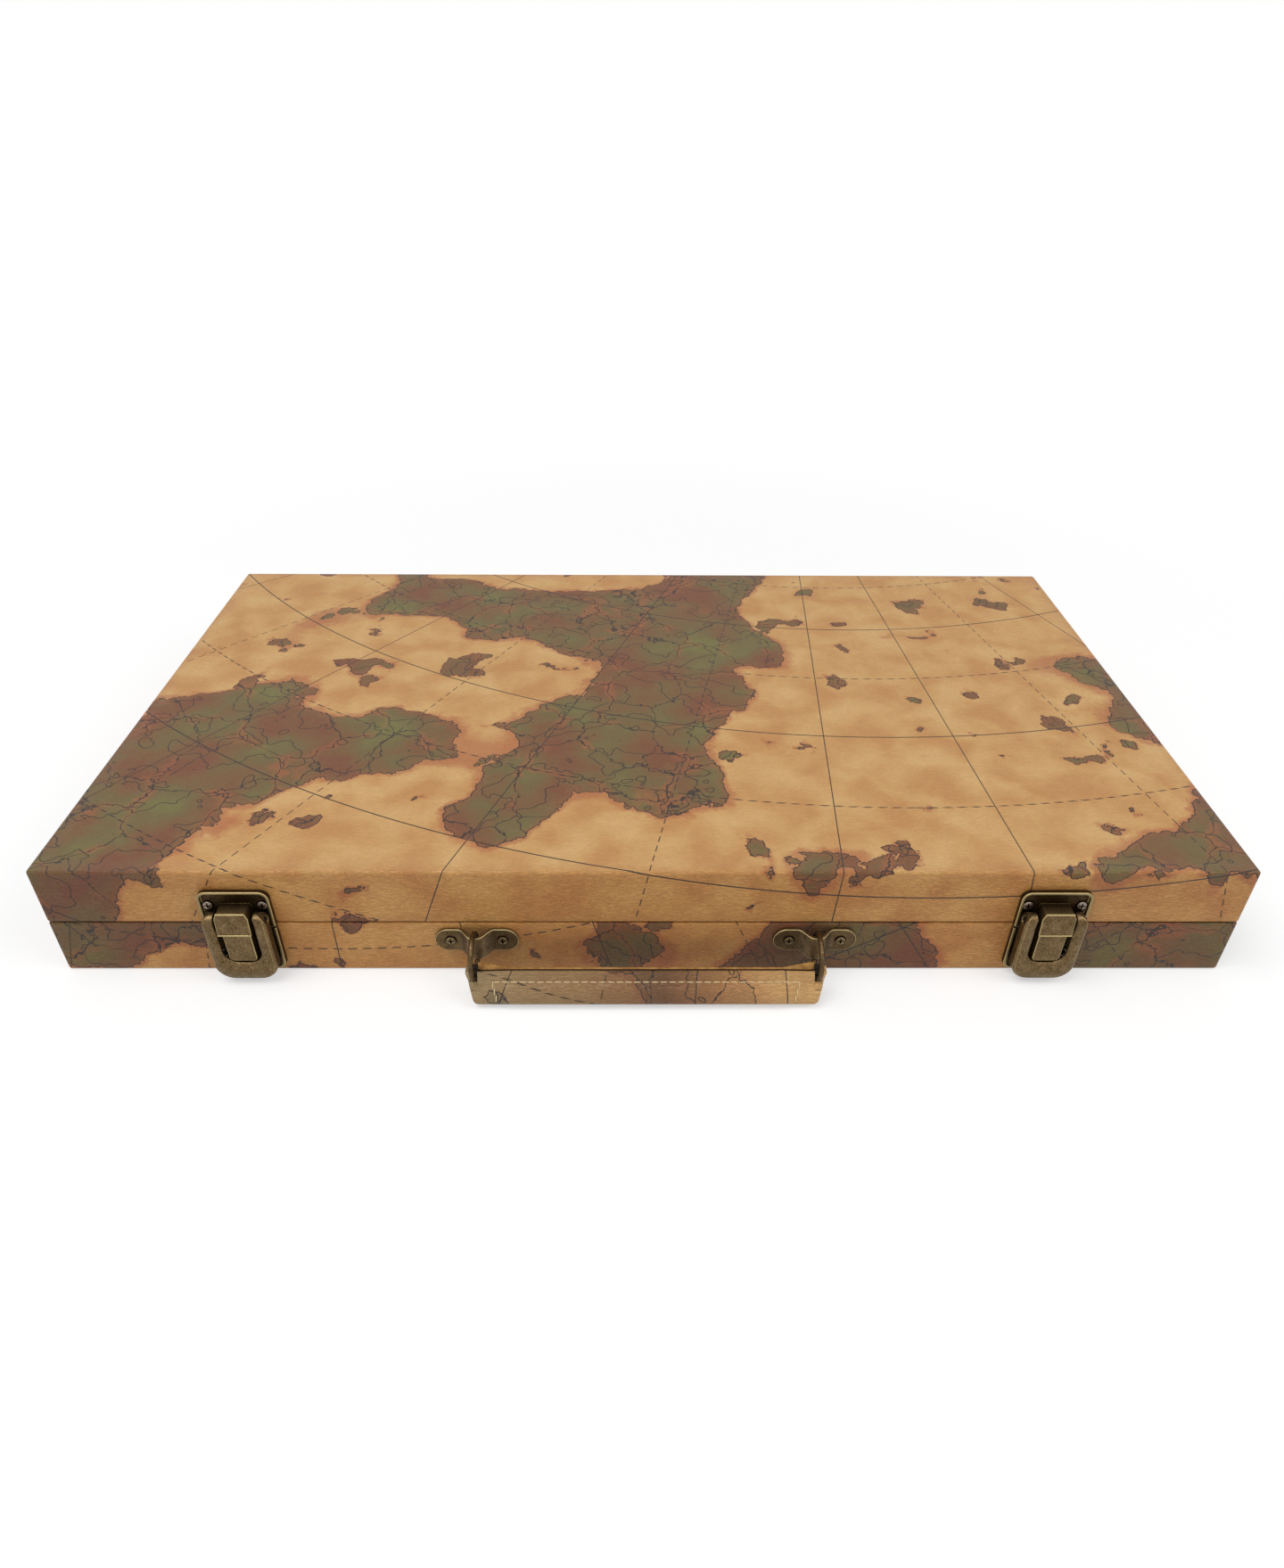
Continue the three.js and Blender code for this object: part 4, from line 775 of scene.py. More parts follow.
def broken_edges(node, width, finish, body, rub_and_highlight=1.0, bare=0.0, sheltered=None, shape=None,
                 crown=None):
    """A CAD piece, or the shape given for it, with its sharp edges broken to a width and painted
    pale, as wear and as painted highlight, but for those that are sheltered, where shade falls:
    near its middle, this far below its top and this close to the wall. The given paleness says
    how pale its edges are, and bare is the least share of the worn tone its faces get against the
    browning and painted shade near the wall. A crown, given as its rise and its reach, rounds the
    flat front up."""
    if shape is None:
        shape = bmesh.new()
        shape.from_mesh(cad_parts[node].data)
    bmesh.ops.remove_doubles(shape, verts=shape.verts, dist=0.002 * mm)
    bmesh.ops.dissolve_limit(shape, angle_limit=math.radians(2), verts=shape.verts, edges=shape.edges)
    for layers in (shape.loops.layers.uv, shape.loops.layers.color):
        for layer in list(layers.values()):
            layers.remove(layer)
    layer = shape.faces.layers.float.new("rubbed_and_highlit")
    raised_layer = shape.verts.layers.float.new("raised")
    sharp = [edge for edge in shape.edges
             if len(edge.link_faces) == 2 and edge.calc_face_angle(0) > math.radians(28)]
    broken = bmesh.ops.bevel(shape, geom=sharp, offset=width, segments=2, profile=0.5, affect="EDGES",
                             clamp_overlap=False)
    low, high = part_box(node)
    for face in broken["faces"]:
        face[layer] = rub_and_highlight
        if sheltered:
            spot = face.calc_center_median()
            near_middle = abs(spot.x - (low.x + high.x) / 2) < sheltered[0]
            below_top = spot.z < high.z - sheltered[1]
            if near_middle and below_top and abs(spot.y) - half_depth < sheltered[2]:
                face[layer] = 0
    shape.normal_update()
    if crown:
        crown_front(shape, *crown)
    for face in shape.faces:
        proud = abs(face.calc_center_median().y) - half_depth
        if face[layer] == 0 and lip_face[0] < proud < lip_face[1] and abs(face.normal.y) > 0.9:
            face[layer] = 0.5
    for corner in shape.verts:
        proud = abs(corner.co.y) - half_depth
        corner[raised_layer] = min(max((proud - browned_and_shaded_below) / (worn_above - browned_and_shaded_below), bare), 1)
    work = from_bmesh(shape, node)
    even = work.modifiers.new("normals", "WEIGHTED_NORMAL")
    even.keep_sharp = True
    smooth(work.data, 50)
    piece = settled(work, f"{node}_finished")
    piece.data.materials.clear()
    piece.data.materials.append(finish)
    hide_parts(node)
    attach(piece, body)
    return piece


for side in ("left", "right"):
    broken_edges(f"hinge_{side}_tray_leaf", 0.12 * mm, brass, "tray")
    broken_edges(f"hinge_{side}_lid_leaf", 0.12 * mm, brass, "lid")
    dress(f"hinge_{side}_pin", steel)


# Latches
# On the lid a stamped plate with a raised lip and a hood, on the tray a matching plate with a
# sprung catch, and a U-shaped hasp that hangs on a pin through the hood. All brass but for the
# pin, of blackened steel, and the spring, of plain steel.
bead_radius = 0.24 * mm
hasp_crown = (0.5 * mm, 2.2 * mm)
hood_start = 6 * mm
for side in ("left", "right"):
    broken_edges(f"latch_{side}_lid_plate", 0.26 * mm, brass, "lid",
                 sheltered=(7 * mm, 2.2 * mm, 6.1 * mm))
    broken_edges(f"latch_{side}_tray_plate", 0.2 * mm, brass, "tray")
    broken_edges(f"latch_{side}_hasp", 0.2 * mm, brass, f"hasp_{side}", rub_and_highlight=0.3,
                 sheltered=(7 * mm, 0, 20 * mm), crown=hasp_crown)
    broken_edges(f"latch_{side}_catch", 0.3 * mm, brass, f"catch_{side}")
    dress(f"latch_{side}_hasp_pin", blackened_steel)

    # The spring is copied as one coil of plain steel
    coil = bmesh.new()
    coil.from_mesh(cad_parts[f"latch_{side}_spring"].data)
    bmesh.ops.remove_doubles(coil, verts=coil.verts, dist=0.002 * mm)
    coil = settled(from_bmesh(coil, "coil"), f"latch_{side}_spring_coil")
    smooth(coil.data, 50)
    coil.data.materials.clear()
    coil.data.materials.append(steel)
    low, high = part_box(f"latch_{side}_spring")
    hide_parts(f"latch_{side}_spring")
    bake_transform(coil)

    # A rolled bead along the hood's lower edge and along the upper edge of its face, painted pale all
    # over as wear and as painted highlight
    face_points = [point.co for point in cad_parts[f"latch_{side}_lid_plate"].data.vertices
                   if point.co.y < -half_depth - hood_start]
    beads = bmesh.new()
    for level in (min(point.z for point in face_points), max(point.z for point in face_points)):
        ends = [point for point in face_points if abs(point.z - level) < 0.3 * mm]
        left_x = min(point.x for point in ends)
        right_x = max(point.x for point in ends)
        out_y = min(point.y for point in ends)
        roll = bmesh.ops.create_icosphere(beads, subdivisions=3, radius=bead_radius)
        for corner in roll["verts"]:
            middle_x = (left_x + right_x) / 2
            reach = (right_x - left_x) / 2 - bead_radius
            shift = reach if corner.co.x > 0 else -reach
            corner.co += Vector((middle_x + shift, out_y + 0.05 * mm, level + 0.15 * mm))
    rolled = settled(from_bmesh(beads, "beads"), f"latch_{side}_hood_beads")
    rolled.data.shade_smooth()
    marks = rolled.data.attributes.new("rubbed_and_highlit", "FLOAT", "FACE")
    marks.data.foreach_set("value", [1.0] * len(rolled.data.polygons))
    rolled.data.materials.append(brass)
    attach(rolled, "lid")


# Handle brackets and rings
# A brass strap with round ends, pressed up in the middle into a tunnel with round bends, holds
# each ring against the tray. The rings are bent from brass wire and their ends meet under it.
strap_sheet = 1.0 * mm
foot_rise = 1.2 * mm
tunnel_half = 1.1 * mm
bend_end = 5.9 * mm
strap_columns = 144


def pressed_strap(low, high):
    """A strap with round ends and a rounded tunnel across its middle, in a bracket's box."""
    centre = (low + high) / 2
    half = (high.x - low.x) / 2
    round_end = (high.z - low.z) / 2
    tunnel_rise = -half_depth - low.y
    strap = bmesh.new()
    outer = []
    inner = []
    for column in range(strap_columns + 1):
        x = -half * math.cos(math.pi * column / strap_columns)
        bend = math.pi * min(max((abs(x) - tunnel_half) / (bend_end - tunnel_half), 0), 1)
        rise = foot_rise + (tunnel_rise - foot_rise) * (0.5 + 0.5 * math.cos(bend))
        slope = 0.5 * math.pi * (tunnel_rise - foot_rise) / (bend_end - tunnel_half) * math.sin(bend)
        slope = -slope if x > 0 else slope
        steep = math.hypot(1, slope)
        reach = math.sqrt(max(round_end ** 2 - max(abs(x) - (half - round_end), 0) ** 2, 0))
        levels = (1, -1) if reach > 0.01 * mm else (0,)
        for row, along, out in ((outer, x, rise),
                                (inner, x + strap_sheet * slope / steep, rise - strap_sheet / steep)):
            row.append([strap.verts.new((centre.x + along, -half_depth - out, centre.z + level * reach))
                        for level in levels])
    for column in range(strap_columns):
        for row in (outer, inner):
            corners = [row[column][0], row[column + 1][0], row[column + 1][-1], row[column][-1]]
            strap.faces.new(list(dict.fromkeys(corners)))
        for level in (0, -1):
            strap.faces.new((outer[column][level], outer[column + 1][level],
                             inner[column + 1][level], inner[column][level]))
    bmesh.ops.recalc_face_normals(strap, faces=strap.faces)
    strap.normal_update()
    return strap


for side in ("left", "right"):
    # Near the wall the straps are painted darker, as browning and painted shade, their faces kept mostly in
    # the worn tone, and their edges pale as wear and painted highlight
    broken_edges(f"handle_{side}_bracket", 0.24 * mm, brass, "tray", rub_and_highlight=0.9, bare=0.55,
                 shape=pressed_strap(*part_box(f"handle_{side}_bracket")))

# The wire is worn on the ring's outside and stays browned on its inside
wire_radius = 0.8 * mm
ring_wear = 0.35
ring_wear_spread = 0.3
ring_steps = 72
wire_sides = 14
for side in ("left", "right"):
    low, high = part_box(f"handle_{side}_ring")
    centre = (low + high) / 2
    ring_radius = (high.z - low.z) / 2 - wire_radius
    ring = bmesh.new()
    raised_layer = ring.verts.layers.float.new("raised")
    loops = []
    for step in range(ring_steps):
        turn = 2 * math.pi * step / ring_steps
        out = Vector((0, math.cos(turn), math.sin(turn)))
        loop = []
        for corner in range(wire_sides):
            roll = 2 * math.pi * corner / wire_sides
            offset = out * (wire_radius * math.cos(roll)) + Vector((wire_radius * math.sin(roll), 0, 0))
            vert = ring.verts.new(centre + out * ring_radius + offset)
            vert[raised_layer] = ring_wear + ring_wear_spread * math.cos(roll)
            loop.append(vert)
        loops.append(loop)
    for step in range(ring_steps):
        after = (step + 1) % ring_steps
        for corner in range(wire_sides):
            beside = (corner + 1) % wire_sides
            ring.faces.new((loops[step][corner], loops[step][beside],
                            loops[after][beside], loops[after][corner]))
    wire = settled(from_bmesh(ring, "ring"), f"handle_{side}_ring_wire")
    wire.data.shade_smooth()
    wire.data.materials.append(brass)
    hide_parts(f"handle_{side}_ring")
    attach(wire, f"ring_{side}")


# Screws
# Small wood screws with domed heads and cross recesses, nickel-plated steel: a warm grey shine,
# with painted shade in the recess and in a ring round the head, and browned in the handle's
# brackets. Twelve hold the front fittings and eight hold the hinge leaves.
nickel = mottled("nickel_plate", 0.7 * mm, 4.0, [(0.3, "#7A6A5E"), (0.7, "#A8988A")], (0.3, 0.45),
                 painted_shade="#120B07", metallic=1.0)
bronzed = mottled("bronzed_screw_plate", 0.7 * mm, 4.0, [(0.3, "#5E4D36"), (0.7, "#8C7A58")], (0.35, 0.5),
                  painted_shade="#120B07", metallic=1.0)

head_radius = 1.55 * mm
head_height = 0.42 * mm
head_dome = 0.12 * mm
seat_ring = 0.32 * mm
seat_rise = 0.16 * mm
recess_reach = 1.05 * mm
recess_width = 0.5 * mm
recess_depth = 0.5 * mm
screw_sink = 4.4 * mm
leaf_screw_x = 13 * mm


def spun(rows, sides, at):
    """A skin through rings: each row is a ring's place on the axis and its two radii, and at says
    where such a point lies. A row without radii is a pole."""
    shape = bmesh.new()
    rings = []
    for along, reach, other_reach in rows:
        turns = [2 * math.pi * spot / sides for spot in range(sides if reach > 0 else 1)]
        rings.append([shape.verts.new(at(along, reach * math.cos(turn), other_reach * math.sin(turn)))
                      for turn in turns])
    for lower, upper in zip(rings, rings[1:]):
        for spot in range(sides):
            beside = (spot + 1) % sides
            corners = [lower[spot % len(lower)], lower[beside % len(lower)],
                       upper[beside % len(upper)], upper[spot % len(upper)]]
            shape.faces.new(list(dict.fromkeys(corners)))
    return shape


def screw_head():
    """A low domed head in a ring of painted shade, with a cross recess that is painted dark as
    shade; its seat is at the origin and its crown towards +Z."""
    rows = [(0, 0), (head_radius + seat_ring, 0), (head_radius + seat_ring * 0.8, seat_rise),
            (head_radius, seat_rise), (head_radius, head_height * 0.7),
            (head_radius * 0.95, head_height * 0.9)]
    for step in range(5):
        share = 0.88 - 0.2 * step
        rows.append((head_radius * share, head_height * 0.9 + head_dome * (1 - share * share)))
    rows.append((0, head_height * 0.9 + head_dome))
    shape = spun([(height, radius, radius) for radius, height in rows], 32,
                 lambda height, x, y: (x, y, height))
    head = from_bmesh(shape, "screw_head")
    cross = bmesh.new()
    top = head_height + head_dome
    for size in ((2 * recess_reach, recess_width), (recess_width, 2 * recess_reach)):
        bar = Matrix.Translation((0, 0, top)) @ Matrix.Diagonal((*size, 2 * recess_depth, 1))
        bmesh.ops.create_cube(cross, size=1, matrix=bar)
    cutter = from_bmesh(cross, "cross")
    cut = head.modifiers.new("recess", "BOOLEAN")
    cut.object = cutter
    cut.solver = "EXACT"
    cut.use_self = True
    head = settled(head, "screw_head", cutter)
    # The ring round the head and the cross recess are marked for painted shade
    marks = head.data.attributes.new("painted_shade", "FLOAT", "FACE")
    for face, mark in zip(head.data.polygons, marks.data):
        from_axis = math.hypot(face.center.x, face.center.y)
        in_recess = from_axis < recess_reach * 1.02 and face.center.z < head_height * 0.9
        mark.value = 1.0 if from_axis > head_radius * 1.01 or in_recess else 0.0
    smooth(head.data, 30)
    return head


for name, half, fittings, hinge_sides, finish in (
        ("tray_screws", "tray", ("latch_left_tray", "latch_right_tray"), ("left", "right"), nickel),
        ("handle_screws", "tray", ("handle_left", "handle_right"), (), bronzed),
        ("lid_screws", "lid", ("latch_left_lid", "latch_right_lid"), ("left", "right"), nickel)):
    places = []
    turns = []
    nodes = []
    for fitting in fittings:
        for side in ("left", "right"):
            low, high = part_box(f"{fitting}_screw_{side}")
            places.append(((low.x + high.x) / 2, low.y + 0.5 * mm, (low.z + high.z) / 2))
            turns.append((math.pi / 2, 0, 0))
            nodes.append(f"{fitting}_screw_{side}")
    up = 1 if half == "tray" else -1
    rim = tray_high.z if half == "tray" else lid_low.z
    for side in hinge_sides:
        low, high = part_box(f"hinge_{side}_{half}_leaf")
        for direction in (-1, 1):
            places.append(((low.x + high.x) / 2 + direction * leaf_screw_x, half_depth - screw_sink,
                           rim - up * (head_height + 0.1 * mm)))
            turns.append((0 if up > 0 else math.pi, 0, 0))
    screws = repeated(name, screw_head(), places, turns, finish)
    smooth(screws.data, 30)
    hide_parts(*nodes)
    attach(screws, half)


# Handle
# A strip of the same leatherette folded over a thin pad and a steel core, its two layers sewn
# together below the top edge and near both ends. The rings go through slots at the ends.
handle_lean = math.radians(32)
top_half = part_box("handle_cover")[1].x - 2 * mm
end_taper = 2.8 * mm
lip = 1.0 * mm
fold_depth = 8.4 * mm
fold_radius = 1.9 * mm
edge_half = 1.3 * mm
full_half = 2.4 * mm
tuck_depth = 5.5 * mm
sew_depth = 2.9 * mm
sew_inset = 7.5 * mm
seam_dip = 0.3 * mm
seam_width = 0.7 * mm
end_seam_width = 0.8 * mm
swell_reach = 3.2 * mm
end_swell_reach = 5 * mm
crease_rise = 0.16 * mm
corner_round = 1.7 * mm
slot_half = 1.2 * mm
slot_depth = 5.8 * mm
handle_ring_x = 54.3 * mm
wall_grain = 0.75

# Depths are measured down the handle from its necks, round which the rings turn. A neck hangs in
# its ring's lower part with a little play
neck_lean = math.radians(35)
neck_half = 1.1 * mm
neck_play = 0.3 * mm
ring_low, ring_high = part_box("handle_left_ring")
ring_centre = (ring_low + ring_high) / 2
neck_reach = (ring_high.z - ring_low.z) / 2 - 2 * wire_radius - neck_play - neck_half
neck = Vector((0, ring_centre.y - neck_reach * math.sin(neck_lean),
               ring_centre.z - neck_reach * math.cos(neck_lean)))
down = Vector((0, -math.sin(handle_lean), -math.cos(handle_lean)))
front = Vector((0, -math.cos(handle_lean), math.sin(handle_lean)))


def eased(low, high, value):
    """A smooth step from 0 at low to 1 at high."""
    share = min(max((value - low) / (high - low), 0), 1)
    return share * share * (3 - 2 * share)


def end_reach(depth):
    """How far the handle reaches to each side at a depth below the necks."""
    bottom = fold_depth + fold_radius
    reach = top_half - end_taper * (depth + lip) / (bottom + lip)
    into_corner = max(depth - (bottom - corner_round), 0)
    return reach - corner_round + math.sqrt(max(corner_round ** 2 - into_corner ** 2, 0))


def half_thickness(x, depth):
    """Half the handle's thickness: thin where it is sewn, swollen between the seams."""
    from_end = end_reach(min(depth, fold_depth)) - abs(x)
    swell = eased(sew_depth, sew_depth + swell_reach, depth)
    swell *= eased(sew_inset, sew_inset + end_swell_reach, from_end)
    into_fold = max((depth - tuck_depth) / (fold_depth + fold_radius - tuck_depth), 0)
    rounding = math.sqrt(max(1 - into_fold ** 2.4, 0))
    creases = noise.noise(Vector((x / (6 * mm), depth / (5 * mm), 3))) * crease_rise * swell
    top_seam = math.exp(-((depth - sew_depth) / seam_width) ** 2)
    end_seam = math.exp(-((from_end - sew_inset) / end_seam_width) ** 2)
    end_seam *= eased(sew_depth - 1 * mm, sew_depth, depth)
    dip = seam_dip * max(top_seam, end_seam)
    tuck = eased(-0.1 * mm, 0.9 * mm, from_end)
    flat = edge_half + (full_half - edge_half) * 0.25 * eased(0, 6 * mm, depth)
    return ((flat + (full_half - flat) * swell) * (0.55 + 0.45 * tuck) - dip + creases) * rounding


def handle_point(x, depth, thick):
    """A point of the handle, from its own measures to the case's."""
    return neck + Vector((x, 0, 0)) + down * depth + front * thick


# The two layers meet in the fold. Their top edges droop a little towards the ends: the back
# layer stands above the front one there, and falls beyond the rings
handle = bmesh.new()
print_layer = handle.loops.layers.uv.new("print")
wall_layer = handle.verts.layers.float.new("wall")
columns = 240
front_drop = 0.5 * mm
front_pull = 0.2 * mm
back_lift = 0.15 * mm
back_pull = 1.6 * mm
pull_span = (4 * mm, 15 * mm)
corner_fall = 1.1 * mm
fall_span = (handle_ring_x - 1 * mm, handle_ring_x + 1.5 * mm)
shift_depth = 3.2 * mm
back_sheet = 30 * mm
flat_rows = 26
bottom = fold_depth + fold_radius
depths = [-lip + (bottom + lip) * math.sin(math.pi / 2 * row / flat_rows) for row in range(flat_rows + 1)]
grid = []
for layer_sign in (1, -1):
    surface = []
    for column in range(columns + 1):
        share = -math.cos(math.pi * column / columns)
        share = 0.35 * share + 0.65 * (2 * column / columns - 1)
        line = []
        for row, depth in enumerate(depths):
            x = share * end_reach(depth)
            if row == flat_rows and layer_sign < 0:
                line.append(grid[0][column][row])
                continue
            pulled = 1 - eased(*pull_span, top_half - abs(x))
            outside = eased(*fall_span, abs(x))
            shift = front_drop + front_pull * pulled
            if layer_sign < 0:
                shift = corner_fall * outside - back_lift - back_pull * pulled
            shift *= 1 - eased(0, shift_depth, depth + lip)
            vert = handle.verts.new(handle_point(x, depth + shift, layer_sign * half_thickness(x, depth)))
            vert[wall_layer] = wall_grain
            line.append(vert)
        surface.append(line)
    grid.append(surface)
for layer_index, surface in enumerate(grid):
    for column in range(columns):
        for row in range(flat_rows):
            corners = ((column, row), (column + 1, row), (column + 1, row + 1), (column, row + 1))
            face = handle.faces.new([surface[at][line] for at, line in corners])
            for loop, (_, line) in zip(face.loops, corners):
                down_sheet = -depths[line] if layer_index == 0 else back_sheet + depths[line]
                loop[print_layer].uv = (loop.vert.co.x, down_sheet)

# The top edge: a share across from the back (-1) to the front (1), how far it stands up, and the
# layer it goes with. The print turns over the front layer's edge, the gap is black leather as
# painted shade, and the back layer's cut edge is dyed orange
top_rows = [(0.8, 0.12 * mm, "front"), (0.45, 0.16 * mm, "front"), (0.15, -0.3 * mm, "front"),
            (-0.02, -1.0 * mm, "front"), (-0.2, 0.4 * mm, "front"), (-0.27, -0.1 * mm, "back"),
            (-0.45, 0.2 * mm, "back"), (-0.8, 0.2 * mm, "back")]
row_finishes = [0, 0, 0, 2, 2, 1, 1, 1, 1]
crests = []
for column in range(columns + 1):
    front_top = grid[0][column][0].co
    back_top = grid[1][column][0].co
    line = [grid[0][column][0]]
    for share, rise, layer in top_rows:
        level = (front_top if layer == "front" else back_top).dot(down)
        along = front_top.lerp(back_top, (1 - share) / 2)
        vert = handle.verts.new(along + down * (level - along.dot(down) - rise))
        vert[wall_layer] = wall_grain
        line.append(vert)
    line.append(grid[1][column][0])
    crests.append(line)
for column in range(columns):
    for row in range(len(top_rows) + 1):
        corners = ((column, row), (column + 1, row), (column + 1, row + 1), (column, row + 1))
        face = handle.faces.new([crests[at][line] for at, line in corners])
        beyond_ring = abs(crests[column][0].co.x) > handle_ring_x + slot_half
        face.material_index = 0 if beyond_ring else row_finishes[row]
        for loop, (_, line) in zip(face.loops, corners):
            loop[print_layer].uv = (loop.vert.co.x, lip + 0.3 * mm * line)
for end in (0, columns):
    rim = [grid[0][end][row] for row in range(flat_rows + 1)]
    rim += [grid[1][end][row] for row in range(flat_rows - 1, -1, -1)]
    rim += crests[end][-2:0:-1]
    handle.faces.new(rim).material_index = 1
pad = from_bmesh(handle, "handle_leatherette")

# Round-footed slots for the rings
slots = bmesh.new()
for side in (-1, 1):
    drum = Matrix.Translation(handle_point(side * handle_ring_x, 0, 0))
    drum = drum @ Matrix.Rotation(math.pi / 2, 4, "Y")
    bmesh.ops.create_cone(slots, cap_ends=True, segments=64, radius1=slot_depth, radius2=slot_depth,
                          depth=2 * slot_half, matrix=drum)
slot_cutter = from_bmesh(slots, "ring_slots")
cut = pad.modifiers.new("ring slots", "BOOLEAN")
cut.object = slot_cutter
cut.solver = "EXACT"
handle_tones = [(0.0, "#887B59"), (0.3, "#755C3C"), (0.55, "#643C23"), (0.72, "#A37646"), (1.0, "#CBA369")]
handle_print = printed_leatherette("printed_leatherette_handle", (0.7, 0.52), 0.5, (0.03, 0.2),
                                   handle_tones)

# Edge dye dries to a dull orange coat, a little darker where it soaks in; the soft black leather
# that hardly shines is painted shade, in the handle's top gap, over the necks and in the slots
edge_dye = mottled("orange_edge_dye", 2.5 * mm, 3.0, [(0.35, "#855B2C"), (0.65, "#A67D46")], (0.65, 0.8),
                   specular_ior_level=0.15)
shade_leather = mottled("black_leather_painted_shade", 0.6 * mm, 3.0, [(0.35, "#120B07"), (0.7, "#24170F")],
                 (0.75, 0.9), specular_ior_level=0.25)

pad.data.materials.append(handle_print)
pad.data.materials.append(edge_dye)
pad.data.materials.append(shade_leather)
pad = settled(pad, "handle_leatherette", slot_cutter)
smooth(pad.data, 50)
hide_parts("handle_cover")
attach(pad, "handle")

# The core is a steel plate that stands high only at the necks, where the rings go round it
core_half = top_half - 0.9 * mm
core_foot = 53.1 * mm
core_depth = 7.6 * mm
core_top = 1.4 * mm
core_gauge = 1.1 * mm
neck_height = 0.9 * mm
neck_start = 52.4 * mm
neck_slope = 0.8 * mm
core_outline = [(-core_half, -neck_height), (-neck_start, -neck_height), (-neck_start + neck_slope, core_top),
                (neck_start - neck_slope, core_top), (neck_start, -neck_height), (core_half, -neck_height),
                (core_foot, core_depth), (-core_foot, core_depth)]


def plate_of(faces):
    """Two like outlines joined into a plate."""
    shape = bmesh.new()
    sides = [[shape.verts.new(point) for point in face] for face in faces]
    for side in sides:
        shape.faces.new(side)
    for spot in range(len(sides[0])):
        beside = (spot + 1) % len(sides[0])
        shape.faces.new((sides[0][spot], sides[0][beside], sides[1][beside], sides[1][spot]))
    bmesh.ops.recalc_face_normals(shape, faces=shape.faces)
    return shape


plate = plate_of([[handle_point(x, depth, thick) for x, depth in core_outline]
                  for thick in (-core_gauge / 2, core_gauge / 2)])
rims = [edge for edge in plate.edges if edge.calc_face_angle(0) > math.radians(60)]
bmesh.ops.bevel(plate, geom=rims, offset=0.12 * mm, segments=2, profile=0.5, affect="EDGES")
windows = bmesh.new()
for side in (-1, 1):
    middle = handle_point(side * handle_ring_x, (neck_height + slot_depth) / 2, 0)
    turned = Matrix.Translation(middle) @ Matrix.Rotation(-handle_lean, 4, "X")
    opening = Matrix.Diagonal((2 * slot_half, 12 * mm, slot_depth - neck_height, 1))
    bmesh.ops.create_cube(windows, size=1, matrix=turned @ opening)
core = from_bmesh(plate, "core")
cut = core.modifiers.new("ring windows", "BOOLEAN")
cut.object = from_bmesh(windows, "windows")
cut.solver = "EXACT"
core = settled(core, "handle_core_plate", cut.object)
smooth(core.data, 40)
core.data.materials.append(blackened_steel)
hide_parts("handle_core")
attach(core, "handle")

# A saddle of black leather lies over each neck as painted shade. A tab closes each slot below it
# at rest, flush with the leather, black as painted shade where the ring goes in and printed below
saddle_steps = 8
saddle_half = 1.15 * mm
saddle_inner = 1.15 * mm
saddle_outer = 2.5 * mm
saddle_turn = math.radians(44)
tab_half = 1.17 * mm
tab_top = 1.3 * mm
tab_reach = slot_depth - 0.03 * mm
shade_foot = 2.7 * mm
tab_rows = 14


def saddle_outline(x):
    """The section of a neck's saddle at x: an arc inside and one outside, over the neck's top."""
    outline = []
    for reach, direction in ((saddle_inner, 1), (saddle_outer, -1)):
        for step in range(saddle_steps + 1):
            turn = handle_lean + math.pi + direction * saddle_turn * (2 * step / saddle_steps - 1)
            outline.append(neck + Vector((x, -reach * math.sin(turn), -reach * math.cos(turn))))
    return outline


for side, ring_x in (("left", -handle_ring_x), ("right", handle_ring_x)):
    faces = [saddle_outline(ring_x - saddle_half), saddle_outline(ring_x + saddle_half)]
    saddle = settled(from_bmesh(plate_of(faces), "saddle"), f"handle_{side}_neck_saddle")
    smooth(saddle.data, 40)
    saddle.data.materials.append(shade_leather)
    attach(saddle, "handle")

    tab = bmesh.new()
    print_layer = tab.loops.layers.uv.new("print")
    wall_layer = tab.verts.layers.float.new("wall")
    tab_foot = math.sqrt(tab_reach ** 2 - half_thickness(ring_x, slot_depth) ** 2)
    tab_levels = [tab_top + (tab_foot - tab_top) * row / tab_rows for row in range(tab_rows + 1)]
    outlines = []
    for x in (ring_x - tab_half, ring_x + tab_half):
        outline = []
        for sign, depths_in_turn in ((1, tab_levels), (-1, tab_levels[::-1])):
            for depth in depths_in_turn:
                vert = tab.verts.new(handle_point(x, depth, sign * half_thickness(x, depth)))
                vert[wall_layer] = wall_grain
                outline.append(vert)
        outlines.append(outline)
    for outline in outlines:
        tab.faces.new(outline).material_index = 1
    for spot in range(len(outlines[0])):
        beside = (spot + 1) % len(outlines[0])
        face = tab.faces.new((outlines[0][spot], outlines[0][beside],
                              outlines[1][beside], outlines[1][spot]))
        depth = (face.calc_center_median() - neck).dot(down)
        # Near its top the tab is black leather, as painted shade
        face.material_index = 1 if depth < shade_foot else 0
    for face in tab.faces:
        for loop in face.loops:
            loop[print_layer].uv = (loop.vert.co.x, -(loop.vert.co - neck).dot(down))
    tab = from_bmesh(tab, f"handle_{side}_ring_tab")
    tab.data.materials.append(handle_print)
    tab.data.materials.append(shade_leather)
    tab = settled(tab, f"handle_{side}_ring_tab")
    smooth(tab.data, 40)
    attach(tab, f"ring_{side}")

